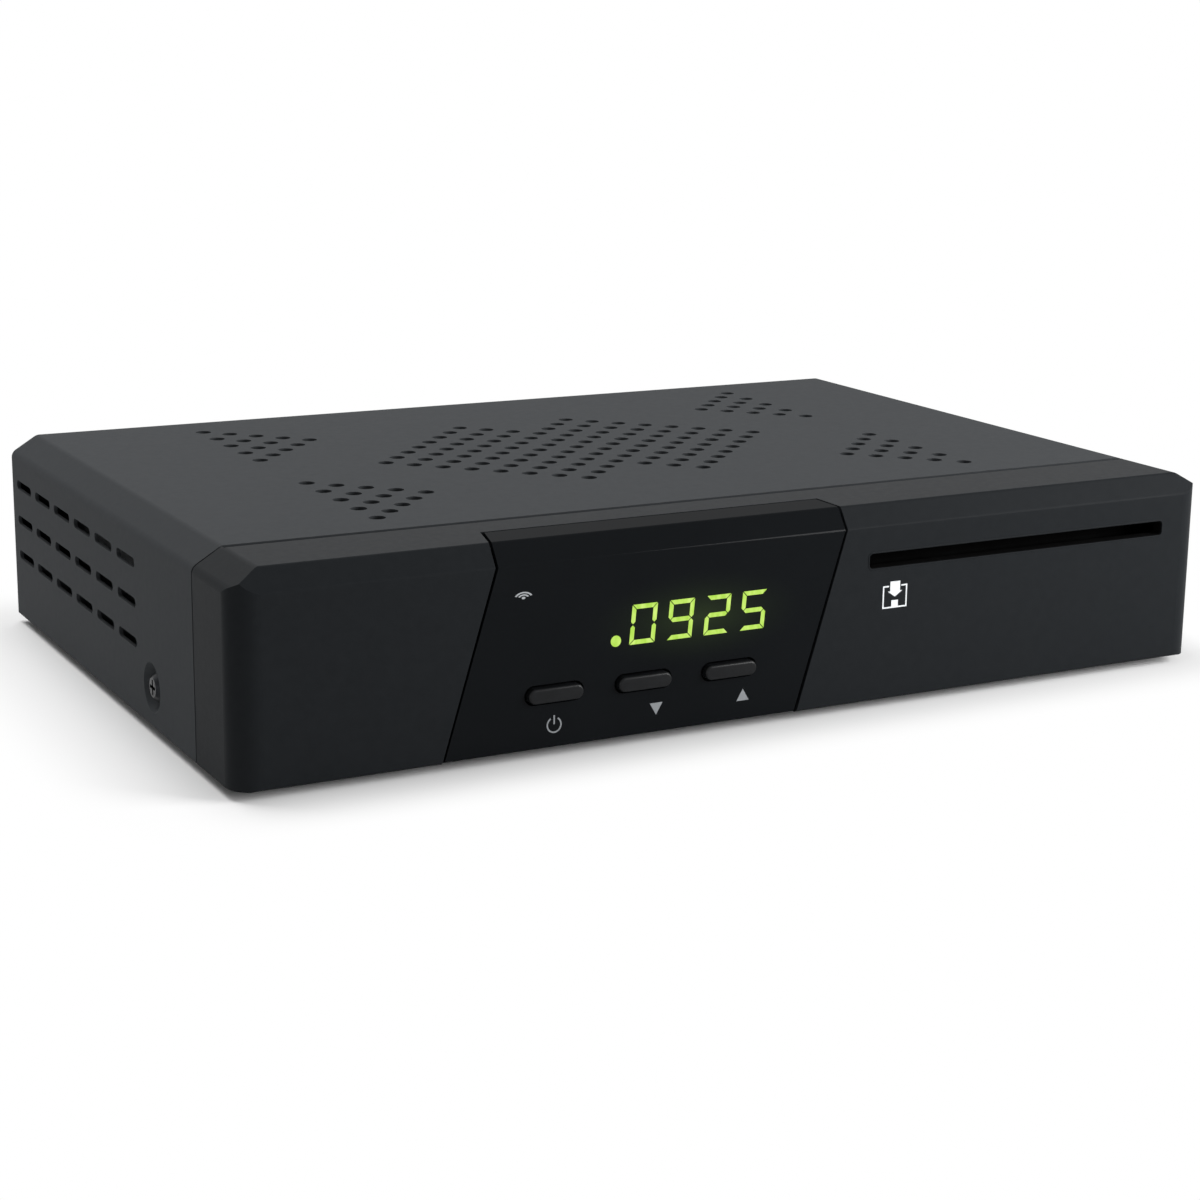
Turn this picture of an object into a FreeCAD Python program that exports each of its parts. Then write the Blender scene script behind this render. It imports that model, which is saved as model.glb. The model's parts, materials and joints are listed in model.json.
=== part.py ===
import FreeCAD, Part
import os
import re
import Sketcher

# Satellite receiver: a folded steel case with a moulded front, in millimetres.
# X runs to the viewer's right, Y to the rear and Z up. The origin lies on the table,
# in the middle of the width and of the whole depth.

SIZES = {
    # Case
    "case_width": 220, "cover_depth": 123.5, "bezel_depth": 21, "body_height": 40.5,
    "side_chamfer_width": 5.8, "side_chamfer_drop": 3.6,
    "face_chamfer_depth": 3, "face_chamfer_drop": 4.2, "corner_radius": 5.5,
    "fold_radius": 2, "edge_round": 0.8,
    "steel": 0.8, "base_steel": 0.9, "bezel_wall": 2.6,
    "seam_gap": 0.5, "groove_width": 1.2, "groove_drop": 0.45, "slip_gap": 0.3,
    "spigot_length": 4, "rear_lip": 5, "flange_height": 14, "fit": 0.05, "play": 0.1,
    # Feet
    "foot_height": 2, "foot_radius": 7, "foot_inset_x": 22, "foot_inset_y": 20,
    "foot_stem_radius": 2, "foot_stem_length": 2.2,
    # Vents in the cover and the base
    "vent_radius": 1.7, "vent_pitch": 4.6, "vent_centre": 61,
    "corner_vent_apex": 50.9, "corner_vent_shift": 32,
    "slot_length": 11.5, "slot_height": 2, "slot_pitch": 14.8, "slot_rise": 8,
    "slot_first": 40.1, "slot_level": 14.4,
    "base_slot_width": 3, "base_slot_length": 26, "base_slot_pitch": 8,
    # Screws
    "side_screw_back": 25.5, "side_screw_level": 7.8, "dimple_radius": 5, "dimple_floor": 3.8,
    "dimple_depth": 1.7, "screw_radius": 1.4, "screw_head_radius": 2.8, "screw_head": 1.6,
    "screw_length": 6, "rear_screw_inset": 18,
    "small_screw_radius": 1.1, "small_head_radius": 2, "small_head": 1.2, "small_length": 5,
    "drill_run": 0.4,
    # Gloss centre panel; shifts are measured from its middle
    "panel_thick": 1.2, "panel_inset": 141.5, "panel_width": 76.1, "panel_lean": 10.9,
    "panel_lift": 0.5, "panel_reach": 11, "panel_skew": 2.3, "panel_gap": 0.6,
    # Buttons and their switches
    "button_shift": 3.6, "button_pitch": 19.1, "button_level": 10.95, "button_length": 11.6,
    "button_height": 3, "button_proud": 1.2, "button_gap": 0.45, "button_flange": 1,
    "button_travel": 0.5,
    "flange_thick": 1, "flange_gap": 0.15, "stem_radius": 1.5, "stem_length": 1.5,
    "switch_width": 6, "switch_depth": 3.5, "plunger_radius": 1.7, "plunger_out": 1,
    "plunger_in": 1,
    # Display, remote sensor and front board
    "display_shift": 16.3, "display_level": 22.1, "display_width": 40, "display_height": 13,
    "digit_height": 7.8, "digit_width": 5.2, "digit_pitch": 8.1, "segment_width": 1.1,
    "segment_depth": 0.6, "segment_play": 0.3, "digit_slant": 8,
    "sensor_shift": -21.5, "sensor_level": 30.6, "sensor_width": 6, "sensor_height": 6.4,
    "sensor_depth": 4.6, "leg_pitch": 1.9, "leg_width": 0.6, "leg_height": 1.2,
    "board_thick": 1.6, "front_board_width": 93, "front_board_height": 30,
    "front_board_shift": 5, "front_board_low": 4.5, "boss_radius": 2.8, "boss_inset": 3.6,
    # Card slot and reader
    "card_slot_inset": 48.75, "card_slot_width": 75.5, "card_slot_height": 3.1,
    "card_slot_level": 29.3, "card_slot_round": 0.8,
    "card_width": 54.6, "card_channel": 1.4, "reader_margin": 4.7,
    "reader_floor": 1.2, "reader_roof": 1.4, "reader_length": 58, "reader_start": 5,
    "reader_stop": 3, "card_board_width": 80.4, "card_board_length": 63,
    "card_post_inset": 2.5, "card_post_first": 12, "card_post_step": 18, "post_radius": 2.6,
    "contact_width": 1.2, "contact_length": 6, "contact_pitch": 2.54, "contact_back": 38,
    "contact_rows": 10, "card_header_width": 16, "card_header_depth": 2.5,
    "card_header_back": 42,
    # Main board
    "board_margin": 12, "board_depth": 86, "board_gap": 0.6, "standoff_height": 5,
    "standoff_radius": 2.8, "standoff_inset": 6,
    # Tuner and aerial connectors
    "tuner_inset": 34, "tuner_width": 40, "tuner_depth": 44, "tuner_height": 17,
    "tin": 0.5, "lid_skirt": 3, "aerial_pitch": 19, "aerial_level": 9.5, "thread_radius": 4.75,
    "thread_root": 4.35, "thread_pitch": 1, "connector_reach": 10, "connector_flange": 6.5,
    "connector_bore": 2.9, "bore_depth": 8, "contact_hole": 0.55, "insulator_recess": 0.6,
    "insulator_lead": 0.8, "nut_across": 12.7,
    "nut_thick": 2.4, "washer_radius": 7, "washer_thick": 0.6,
    # Sockets in the rear wall
    "socket_proud": 0.4,
    "hdmi_centre": -36, "hdmi_width": 15, "hdmi_height": 5.6, "hdmi_length": 12,
    "usb_centre": 8, "usb_width": 13.1, "usb_height": 5.7, "usb_length": 14,
    "shell_wall": 0.4, "shell_depth": 8, "tongue_height": 1.8, "tongue_side": 0.6,
    "tongue_recess": 1,
    "lan_centre": -14, "lan_width": 16, "lan_height": 13.4, "lan_length": 21,
    "lan_port_width": 11.8, "lan_port_height": 8, "lan_port_depth": 13, "lan_port_low": 2.6,
    "power_inset": 18, "power_width": 9, "power_height": 11, "power_length": 14,
    "power_bore": 3.2, "power_bore_depth": 9.5, "power_pin": 1.05, "pin_recess": 1,
    "power_level": 6.5,
    "jack_first": 28, "jack_pitch": 12.5, "jack_level": 8, "jack_block_height": 13,
    "jack_block_depth": 12, "collar_radius": 5.2, "collar_length": 2.4, "sleeve_radius": 4.15,
    "sleeve_root": 3.8, "sleeve_bore": 8, "sleeve_reach": 8.5, "sleeve_bevel": 0.5,
    "plug_hole": 1.6,
    # Parts on the main board
    "chip_centre": -6, "chip_forward": 46, "chip_width": 24, "chip_thick": 1.8,
    "pad_width": 20, "pad_thick": 0.5, "sink_width": 34, "sink_base": 2, "fin_height": 9,
    "fin_thick": 1.1, "memory_width": 9, "memory_length": 13, "memory_thick": 1.1,
    "memory_gap": 7, "memory_space": 2,
    "crystal_length": 11, "crystal_width": 4.6, "crystal_height": 3.6,
    "coil_width": 10, "coil_height": 5, "coil_pitch": 15, "coil_forward": 30,
    "can_radius": 4, "can_rim": 0.6, "can_height": 12, "can_pitch": 11, "can_forward": 66,
    # Ribbon cable
    "ribbon_centre": -10, "ribbon_width": 12.7, "ribbon_thick": 0.9, "ribbon_level": 25,
    "ribbon_bend": 4, "header_width": 16, "header_depth": 5, "header_height": 8,
    "header_forward": 80,
}

# Places worked out from the sizes above. Heights inside the case start at its underside.
PLACES = {
    "front_y": "(button_proud - bezel_depth - cover_depth - connector_reach) / 2",
    "seam_y": "front_y + bezel_depth",
    "rear_y": "seam_y + cover_depth",
    "wall_y": "rear_y - steel - play",
    "inner_y": "wall_y - base_steel",
    "side_x": "case_width / 2",
    "rear_screw_spread": "side_x - rear_screw_inset",
    "panel_centre": "side_x - panel_inset",
    "button_centre": "panel_centre + button_shift",
    "display_centre": "panel_centre + display_shift",
    "sensor_centre": "panel_centre + sensor_shift",
    "front_board_centre": "panel_centre + front_board_shift",
    "card_slot_centre": "side_x - card_slot_inset",
    "reader_width": "card_board_width - 2 * reader_margin",
    "card_post_spread": "card_board_width / 2 - card_post_inset",
    "board_width": "case_width - 2 * board_margin",
    "tuner_centre": "tuner_inset - side_x",
    "power_centre": "side_x - power_inset",
    "base_z": "foot_height",
    "top_z": "base_z + body_height",
    "floor_z": "base_z + base_steel",
    "side_slope": "hypot(side_chamfer_width; side_chamfer_drop)",
    "face_slope": "hypot(face_chamfer_depth; face_chamfer_drop)",
    "flange_x": "side_x - steel - dimple_depth - play",
    "flange_y": "front_y + bezel_wall + flange_gap",
    "stem_y": "flange_y + flange_thick",
    "plunger_y": "stem_y + stem_length",
    "switch_y": "plunger_y + plunger_out",
    "front_board_y": "switch_y + switch_depth",
    "button_z": "base_z + button_level",
    "slot_z": "base_z + card_slot_level",
    "reader_z": "slot_z - card_channel / 2 - reader_floor",
    "reader_y": "front_y + bezel_wall + reader_start",
    "card_board_z": "reader_z - board_thick",
    "board_z": "floor_z + standoff_height",
    "board_top": "board_z + board_thick",
    "board_back": "inner_y - board_gap",
    "board_front": "board_back - board_depth",
    "aerial_z": "board_top + aerial_level",
    "tip_y": "rear_y + connector_reach - board_back",
    "socket_y": "wall_y + socket_proud",
    "jack_z": "board_top + jack_level",
    "power_z": "board_top + power_level",
    "chip_y": "board_back - chip_forward",
    "sink_z": "board_top + chip_thick + pad_thick",
}

BUTTONS = {"power": -1, "channel_down": 0, "channel_up": 1}
SIDES = {"left": -1, "right": 1}
AERIALS = {"lnb_in": -1, "lnb_out": 1}
JACKS = ("video", "audio_left", "audio_right", "digital_audio")
SLOT_COLUMNS, SLOT_ROWS = 6, 3

PLANES = {"xy": "XY_Plane", "xz": "XZ_Plane", "yz": "YZ_Plane"}
TURNS = {
    "+x": FreeCAD.Rotation(FreeCAD.Vector(0, 1, 0), 90),
    "-x": FreeCAD.Rotation(FreeCAD.Vector(0, 1, 0), -90),
    "+y": FreeCAD.Rotation(FreeCAD.Vector(1, 0, 0), -90),
    "-y": FreeCAD.Rotation(FreeCAD.Vector(1, 0, 0), 90),
    "+z": FreeCAD.Rotation(),
    "-z": FreeCAD.Rotation(FreeCAD.Vector(1, 0, 0), 180),
}
# A cut passes this far beyond the material, so that no thin skin is left.
BEYOND = 1

doc = FreeCAD.newDocument("receiver")
sheet = doc.addObject("Spreadsheet::Sheet", "sizes")
for row, (alias, size) in enumerate(SIZES.items(), 1):
    sheet.set(f"A{row}", str(size))
    sheet.setAlias(f"A{row}", alias)
doc.recompute()
nodes = []


def spell(formula):
    """Write a formula out with the sheet's cells in place of their plain names."""
    def word(match):
        name = match.group(0)
        if name in PLACES:
            return f"({spell(PLACES[name])})"
        return f"sizes.{name}" if name in SIZES else name
    return re.sub(r"[A-Za-z_]\w*", word, str(formula))


def value(formula):
    return float(sheet.evalExpression(spell(formula)))


def bind(item, **formulas):
    """Tie properties to the sheet; x, y and z stand for the item's place."""
    for name, formula in formulas.items():
        path = f"Placement.Base.{name}" if name in ("x", "y", "z") else name
        item.setExpression(path, spell(formula))
    return item


def node(item):
    """Count a finished piece as a part of its own, named by its label."""
    nodes.append(item)
    return item


# Plain solids


def box(name, x, y, z):
    """A block between the low and high formula of each axis."""
    item = doc.addObject("Part::Box", name)
    for side, axis, (low, high) in zip(("Length", "Width", "Height"), "xyz", (x, y, z)):
        bind(item, **{side: f"({high}) - ({low})", axis: low})
    return item


def middle(centre, width):
    """The low and high formula of a width about its centre."""
    return f"({centre}) - ({width}) / 2", f"({centre}) + ({width}) / 2"


def after(start, length):
    """The low and high formula of a length that starts at a place."""
    return start, f"({start}) + ({length})"


def rod(name, turn, x, y, z, radius, length):
    item = doc.addObject("Part::Cylinder", name)
    item.Placement.Rotation = TURNS[turn]
    return bind(item, x=x, y=y, z=z, Radius=radius, Height=length)


def cone(name, turn, x, y, z, radius, end_radius, length):
    item = doc.addObject("Part::Cone", name)
    item.Placement.Rotation = TURNS[turn]
    return bind(item, x=x, y=y, z=z, Radius1=radius, Radius2=end_radius, Height=length)


def hexagon(name, turn, x, y, z, across, length):
    item = doc.addObject("Part::Prism", name)
    item.Placement.Rotation = TURNS[turn]
    return bind(item, x=x, y=y, z=z, Circumradius=f"({across}) / sqrt(3)", Height=length)


def fused(name, *pieces):
    item = doc.addObject("Part::MultiFuse", name)
    item.Shapes = list(pieces)
    item.Refine = True
    return item


def shared(name, *pieces):
    item = doc.addObject("Part::MultiCommon", name)
    item.Shapes = list(pieces)
    return item


def group(name, *pieces):
    """Several separate solids that count as one part."""
    item = doc.addObject("Part::Compound", name)
    item.Links = list(pieces)
    return item


def cut(name, base, *tools):
    item = doc.addObject("Part::Cut", name)
    item.Base = base
    item.Tool = tools[0] if len(tools) == 1 else fused(f"{name}_cutters", *tools)
    return item


def obround(name, x, z, length, height, start, depth):
    """A bar with round ends that lies along X and is driven along Y."""
    reach = f"(({length}) - ({height})) / 2"
    ends = [rod(f"{name}_end", "+y", f"({x}) {sign} {reach}", start, z, f"({height}) / 2", depth)
            for sign in "+-"]
    bar = box(f"{name}_bar", middle(x, f"2 * {reach}"), after(start, depth), middle(z, height))
    return fused(name, bar, *ends)


# Bodies made from sketches


def sketch_on(body, plane, start):
    sketch = body.newObject("Sketcher::SketchObject", f"{body.Name}_sketch")
    flat = [item for item in body.Origin.OriginFeatures if item.Role == PLANES[plane]][0]
    sketch.AttachmentSupport = (flat, [""])
    sketch.MapMode = "FlatFace"
    # The XZ plane faces the viewer, against Y.
    sign = "-" if plane == "xz" else ""
    sketch.setExpression("AttachmentOffset.Base.z", spell(f"{sign}({start})"))
    return sketch


def pin(sketch, edge, end, u, v):
    """Hold a point of the sketch at two formulas from its origin."""
    for kind, formula in (("DistanceX", u), ("DistanceY", v)):
        rule = Sketcher.Constraint(kind, -1, 1, edge, end, value(formula))
        place = sketch.addConstraint(rule)
        sketch.setExpression(f"Constraints[{place}]", spell(formula))


def draw_loop(sketch, corners):
    first = sketch.GeometryCount
    spots = [FreeCAD.Vector(value(u), value(v), 0) for u, v in corners]
    for here, there in zip(spots, spots[1:] + spots[:1]):
        sketch.addGeometry(Part.LineSegment(here, there), False)
    for step in range(len(spots)):
        following = first + (step + 1) % len(spots)
        sketch.addConstraint(Sketcher.Constraint("Coincident", first + step, 2, following, 1))
    for step, (u, v) in enumerate(corners):
        pin(sketch, first + step, 1, u, v)


def draw_circle(sketch, u, v, radius):
    spot = FreeCAD.Vector(value(u), value(v), 0)
    circle = Part.Circle(spot, FreeCAD.Vector(0, 0, 1), value(radius))
    edge = sketch.addGeometry(circle, False)
    pin(sketch, edge, 3, u, v)
    place = sketch.addConstraint(Sketcher.Constraint("Radius", edge, value(radius)))
    sketch.setExpression(f"Constraints[{place}]", spell(radius))


def add_pad(body, plane, corners, start, length, circles=()):
    sketch = sketch_on(body, plane, start)
    draw_loop(sketch, corners)
    for circle in circles:
        draw_circle(sketch, *circle)
    pad = body.newObject("PartDesign::Pad", f"{body.Name}_pad")
    pad.Profile = sketch
    pad.Reversed = plane == "xz"
    return bind(pad, Length=length)


def prism(name, plane, corners, start, length, circles=()):
    """An outline on a plane, driven along that plane's axis from a start."""
    body = doc.addObject("PartDesign::Body", name)
    add_pad(body, plane, corners, start, length, circles)
    return body


def sink(body, plane, corners, start, length, forward):
    """Cut an outline into a body, along the plane's axis or against it."""
    doc.recompute()
    before = body.Shape.Volume
    sketch = sketch_on(body, plane, start)
    draw_loop(sketch, corners)
    pocket = body.newObject("PartDesign::Pocket", f"{body.Name}_pocket")
    pocket.Profile = sketch
    pocket.Reversed = forward != (plane == "xz")
    bind(pocket, Length=length)
    doc.recompute()
    if not body.Shape.Volume < before:
        raise ValueError(f"the cut in {body.Label} removes nothing")
    return pocket


def round_corners(body, plane, corners, radius):
    """Round the edges that stand on the given corners of the outline."""
    doc.recompute()
    axes = {"xy": ("x", "y", "z"), "xz": ("x", "z", "y"), "yz": ("y", "z", "x")}[plane]
    spots = [(value(u), value(v)) for u, v in corners]
    tip = body.Tip

    def stands_on_a_corner(edge):
        ends = [vertex.Point for vertex in edge.Vertexes]
        if len(ends) != 2 or edge.Curve.TypeId != "Part::GeomLine":
            return False
        low, high = ends
        level = all(abs(getattr(low, a) - getattr(high, a)) < 1e-6 for a in axes[:2])
        near = any(abs(getattr(low, axes[0]) - u) + abs(getattr(low, axes[1]) - v) < 1e-6
                   for u, v in spots)
        return level and near

    edges = [f"Edge{n}" for n, edge in enumerate(tip.Shape.Edges, 1) if stands_on_a_corner(edge)]
    fillet = body.newObject("PartDesign::Fillet", f"{body.Name}_fillet")
    fillet.Base = (tip, edges)
    return bind(fillet, Radius=radius)


def turned(name, outline, turn, x, y, z):
    """A round piece: radius and height pairs, turned about its own axis and put in place."""
    body = doc.addObject("PartDesign::Body", name)
    sketch = sketch_on(body, "xz", 0)
    draw_loop(sketch, outline)
    revolution = body.newObject("PartDesign::Revolution", f"{name}_turn")
    revolution.Profile = sketch
    revolution.ReferenceAxis = (sketch, ["V_Axis"])
    revolution.Angle = 360
    body.Placement.Rotation = TURNS[turn]
    return bind(body, x=x, y=y, z=z)


def square(u, v, width, height=None):
    """The corners of a rectangle about its centre."""
    left, right = middle(u, width)
    low, high = middle(v, height or width)
    return [(left, low), (right, low), (right, high), (left, high)]


# Shapes that several pieces share


def side_points(inset, sign=1):
    """The upper outline of the case's section on one side, set in from the skin."""
    edge = f"side_x - {inset}"
    fold = f"top_z - side_chamfer_drop - {inset} * (side_slope - side_chamfer_drop)"
    fold += " / side_chamfer_width"
    crest = f"side_x - side_chamfer_width - {inset} * (side_slope - side_chamfer_width)"
    crest += " / side_chamfer_drop"
    return [(f"{sign} * ({edge})", fold), (f"{sign} * ({crest})", f"top_z - {inset}")]


def section(inset, low):
    """The case's section across X and Z, set in from the skin, down to a level."""
    right = side_points(inset)
    left = [(f"-({x})", z) for x, z in reversed(right)]
    edge = f"side_x - {inset}"
    return [(f"-({edge})", low), (edge, low), *right, *left]


def profile(inset, back, low):
    """The front's section along Y and Z, with its sloping upper edge."""
    fold = f"top_z - face_chamfer_drop - {inset} * (face_slope - face_chamfer_drop)"
    fold += " / face_chamfer_depth"
    crest = f"front_y + face_chamfer_depth + {inset} * (face_slope - face_chamfer_depth)"
    crest += " / face_chamfer_drop"
    face = f"front_y + {inset}"
    return [(face, low), (face, fold), (crest, f"top_z - {inset}"), (back, f"top_z - {inset}"),
            (back, low)]


def front_block(name, inset, back, low, soft=False):
    """The solid form of the front, set in from its skin, with rounded upright corners."""
    across = prism(f"{name}_across", "xz", section(inset, low), f"front_y + {inset}",
                   f"({back}) - front_y - {inset}")
    along = prism(f"{name}_along", "yz", profile(inset, back, low), "-side_x", "case_width")
    if soft:
        round_corners(across, "xz", section(inset, low)[2:], "fold_radius")
        round_corners(along, "yz", profile(inset, back, low)[:3], "edge_round")
    edge = f"side_x - {inset}"
    face = f"front_y + {inset}"
    plan = [(f"-({edge})", face), (edge, face), (edge, back), (f"-({edge})", back)]
    above = prism(f"{name}_above", "xy", plan, low, f"top_z - ({low})")
    round_corners(above, "xy", plan[:2], f"corner_radius - {inset}")
    return shared(name, across, along, above)


def panel_outline(name, gap):
    """The leaning form of the gloss panel through the front; its left end is skewed on top."""
    low = "base_z + panel_lift"
    fold = "top_z - face_chamfer_drop"
    left = f"panel_centre - panel_width / 2 - {gap}"
    right = f"panel_centre + panel_width / 2 + {gap}"
    corners = [(left, f"{low} - {gap}"), (right, f"{low} - {gap}"),
               (f"{right} + panel_lean", fold), (f"{right} + panel_lean", f"top_z + {BEYOND}"),
               (f"{left} + panel_lean", f"top_z + {BEYOND}"), (f"{left} + panel_lean", fold)]
    face = prism(f"{name}_face", "xz", corners, f"front_y - {BEYOND}",
                 f"{BEYOND} + panel_reach + {gap}")
    crest, back = "front_y + face_chamfer_depth", f"front_y + panel_reach + {gap}"
    left_end, right_end = middle("panel_centre", "2 * panel_width")
    plan = [(left_end, f"front_y - {BEYOND}"), (right_end, f"front_y - {BEYOND}"),
            (right_end, back), (f"{left} + panel_lean + panel_skew", back),
            (f"{left} + panel_lean", crest), (left_end, crest)]
    ends = prism(f"{name}_ends", "xy", plan, f"base_z - {BEYOND}", f"body_height + 2 * {BEYOND}")
    return shared(name, face, ends)


def behind_panel(name, inset):
    """Everything behind the gloss panel's inner face."""
    corners = profile(inset, f"seam_y + {BEYOND}", f"base_z - {BEYOND}")
    return prism(name, "yz", corners, "panel_centre - panel_width", "2 * panel_width")


def button_x(step):
    return f"button_centre + {step} * button_pitch"


def screw(name, turn, x, y, z, size="screw"):
    """A round-headed screw whose head seats at its place, with a cross in the head."""
    head, radius = ("screw_head", "screw_head_radius")
    shank, length = ("screw_radius", "screw_length")
    if size == "small":
        head, radius = ("small_head", "small_head_radius")
        shank, length = ("small_screw_radius", "small_length")
    outline = [("0", f"-{head}"), (f"{radius} * 0.7", f"-{head}"), (radius, f"-{head} * 0.4"),
               (radius, "0"), (shank, "0"), (shank, length), ("0", length)]
    body = turned(name, outline, turn, x, y, z)
    arm, half = f"{radius} * 0.55", f"{radius} * 0.12"
    cross = [(f"-{half}", f"-{arm}"), (half, f"-{arm}"), (half, f"-{half}"), (arm, f"-{half}"),
             (arm, half), (half, half), (half, arm), (f"-{half}", arm), (f"-{half}", half),
             (f"-{arm}", half), (f"-{arm}", f"-{half}"), (f"-{half}", f"-{half}")]
    sink(body, "xy", cross, f"-{head}", f"{head} * 0.5", True)
    return body


# Casing


def top_cover():
    """Folded steel top and sides, with its vents, screw dimples and rear lip."""
    outer = section("0", "base_z")
    inner = section("steel", "base_z")
    wrap = [outer[1], *outer[2:], outer[0], inner[0], *reversed(inner[2:]), inner[1]]
    body = prism("cover_fold", "xz", wrap, "seam_y + seam_gap / 2", "cover_depth - seam_gap / 2")
    round_corners(body, "xz", outer[2:], "fold_radius")
    round_corners(body, "xz", inner[2:], "fold_radius - steel")
    crest = side_points("steel")[1][0]
    lip = [(f"-({crest})", "top_z - steel - rear_lip"), (crest, "top_z - steel - rear_lip"),
           (crest, "top_z - steel / 2"), (f"-({crest})", "top_z - steel / 2")]
    add_pad(body, "xz", lip, "rear_y - steel", "steel")
    side_slots(body)
    bosses, cutters = [], []
    for side, sign in SIDES.items():
        turn = "-x" if sign > 0 else "+x"
        place = ("seam_y + side_screw_back", "base_z + side_screw_level")
        bosses.append(rod(f"{side}_dimple_wall", turn, f"{sign} * (side_x - steel / 2)", *place,
                          "dimple_radius + steel", "dimple_depth + steel / 2"))
        cutters.append(cone(f"{side}_dimple", turn, f"{sign} * side_x", *place,
                            "dimple_radius", "dimple_floor", "dimple_depth"))
        cutters.append(rod(f"{side}_screw_hole", turn, f"{sign} * side_x", *place,
                           "screw_radius + slip_gap", "dimple_depth + steel * 2"))
    for step, x in enumerate(rear_screw_places()):
        cutters.append(rod(f"lip_hole_{step}", "-y", x, f"rear_y + {BEYOND}", "top_z - rear_lip",
                           "screw_radius + slip_gap", f"steel + 2 * {BEYOND}"))
    shell = cut("cover_dished", fused("cover_bossed", body, *bosses), *cutters)
    return cut("top_cover", shell, group("cover_drills", *top_drills()))


def side_slots(body):
    """Three rows of six slots, through both sides at once."""
    sketch = sketch_on(body, "yz", 0)
    reach = "(slot_length - slot_height) / 2"
    first, level = "seam_y + slot_first", "base_z + slot_level"
    left, right = f"{first} - {reach}", f"{first} + {reach}"
    low, high = value(f"{level} - slot_height / 2"), value(f"{level} + slot_height / 2")
    near, far, radius = value(left), value(right), value("slot_height / 2")
    mid = (low + high) / 2
    point = FreeCAD.Vector
    edges = [
        Part.LineSegment(point(near, low, 0), point(far, low, 0)),
        Part.Arc(point(far, low, 0), point(far + radius, mid, 0), point(far, high, 0)),
        Part.LineSegment(point(far, high, 0), point(near, high, 0)),
        Part.Arc(point(near, high, 0), point(near - radius, mid, 0), point(near, low, 0)),
    ]
    for edge in edges:
        sketch.addGeometry(edge, False)
    # An arc runs from its first point to its last anticlockwise, as the lines do.
    for here, there in ((0, 1), (1, 2), (2, 3), (3, 0)):
        sketch.addConstraint(Sketcher.Constraint("Tangent", here, 2, there, 1))
    pin(sketch, 1, 3, right, level)
    pin(sketch, 3, 3, left, level)
    sketch.addConstraint(Sketcher.Constraint("Equal", 1, 3))
    place = sketch.addConstraint(Sketcher.Constraint("Radius", 1, radius))
    sketch.setExpression(f"Constraints[{place}]", spell("slot_height / 2"))
    pocket = body.newObject("PartDesign::Pocket", "side_slot")
    pocket.Profile = sketch
    pocket.Midplane = True
    bind(pocket, Length=f"case_width + 2 * {BEYOND}")
    doc.recompute()
    pattern = body.newObject("PartDesign::LinearPattern", "side_slot_rows")
    pattern.Originals = [pocket]
    pattern.Direction = (sketch, ["H_Axis"])
    pattern.Direction2 = (sketch, ["V_Axis"])
    pattern.Mode = "Extent"
    pattern.Mode2 = "Extent"
    pattern.Occurrences = SLOT_COLUMNS
    pattern.Occurrences2 = SLOT_ROWS
    bind(pattern, Length=f"{SLOT_COLUMNS - 1} * slot_pitch", Length2=f"{SLOT_ROWS - 1} * slot_rise")
    body.Tip = pattern


def top_drills():
    """Round vents on a staggered lattice: a lozenge in the middle, four triangles round it."""
    rows = {0: range(-10, 11, 2), 6: (-4, -2, 2, 4), 7: (-3, 3)}
    rows.update({row: range(row - 10, 11 - row, 2) for row in range(1, 6)})
    spots = []
    for row, columns in rows.items():
        for side in {row, -row}:
            spots += [(f"{column} * vent_pitch", f"{side} * vent_pitch") for column in columns]
    for side in SIDES.values():
        for end in (-1, 1):
            for column in range(5):
                x = f"{side} * (corner_vent_apex + {column} * vent_pitch)"
                spots += [(x, f"{end} * corner_vent_shift + {step} * vent_pitch")
                          for step in range(-column, column + 1, 2)]
    return [rod(f"vent_{number}", "+z", x, f"seam_y + vent_centre + {y}",
                f"top_z - steel - {BEYOND}", "vent_radius", f"steel + 2 * {BEYOND}")
            for number, (x, y) in enumerate(spots)]


def rear_screw_places():
    return ["-rear_screw_spread", "0", "rear_screw_spread"]


def bottom_chassis():
    """Steel tray: the floor, two low side flanges and the rear wall with its cut-outs."""
    edge = "side_x - steel - slip_gap"
    floor = box("chassis_floor", (f"-({edge})", edge), ("seam_y + seam_gap / 2", "wall_y"),
                ("base_z", "floor_z"))
    wall = prism("chassis_wall", "xz", section("(steel + slip_gap)", "base_z"), "inner_y",
                 "base_steel")
    flanges = [box(f"{side}_flange", sorted_pair(f"{sign} * flange_x",
                                                 f"{sign} * (flange_x - base_steel)", sign),
                   ("seam_y + spigot_length + play * 5", "wall_y"),
                   ("base_z", "base_z + flange_height"))
               for side, sign in SIDES.items()]
    tools = [rod(f"foot_hole_{step}", "+z", x, y, f"base_z - {BEYOND}",
                 "foot_stem_radius + play", f"base_steel + 2 * {BEYOND}")
             for step, (x, y) in enumerate(foot_places())]
    for side, sign in SIDES.items():
        tools.append(rod(f"{side}_flange_hole", "+x", f"{sign} * flange_x - base_steel - {BEYOND}",
                         "seam_y + side_screw_back", "base_z + side_screw_level",
                         "screw_radius + fit", f"2 * base_steel + 2 * {BEYOND}"))
    for step, x in enumerate(rear_screw_places()):
        tools.append(rod(f"wall_hole_{step}", "-y", x, f"wall_y + {BEYOND}", "top_z - rear_lip",
                         "screw_radius + fit", f"base_steel + 2 * {BEYOND}"))
    tools += rear_cutouts() + base_slots()
    return cut("bottom_chassis", fused("chassis_fold", floor, wall, *flanges), *tools)


def sorted_pair(outer, inner, sign):
    return (inner, outer) if sign > 0 else (outer, inner)


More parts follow.
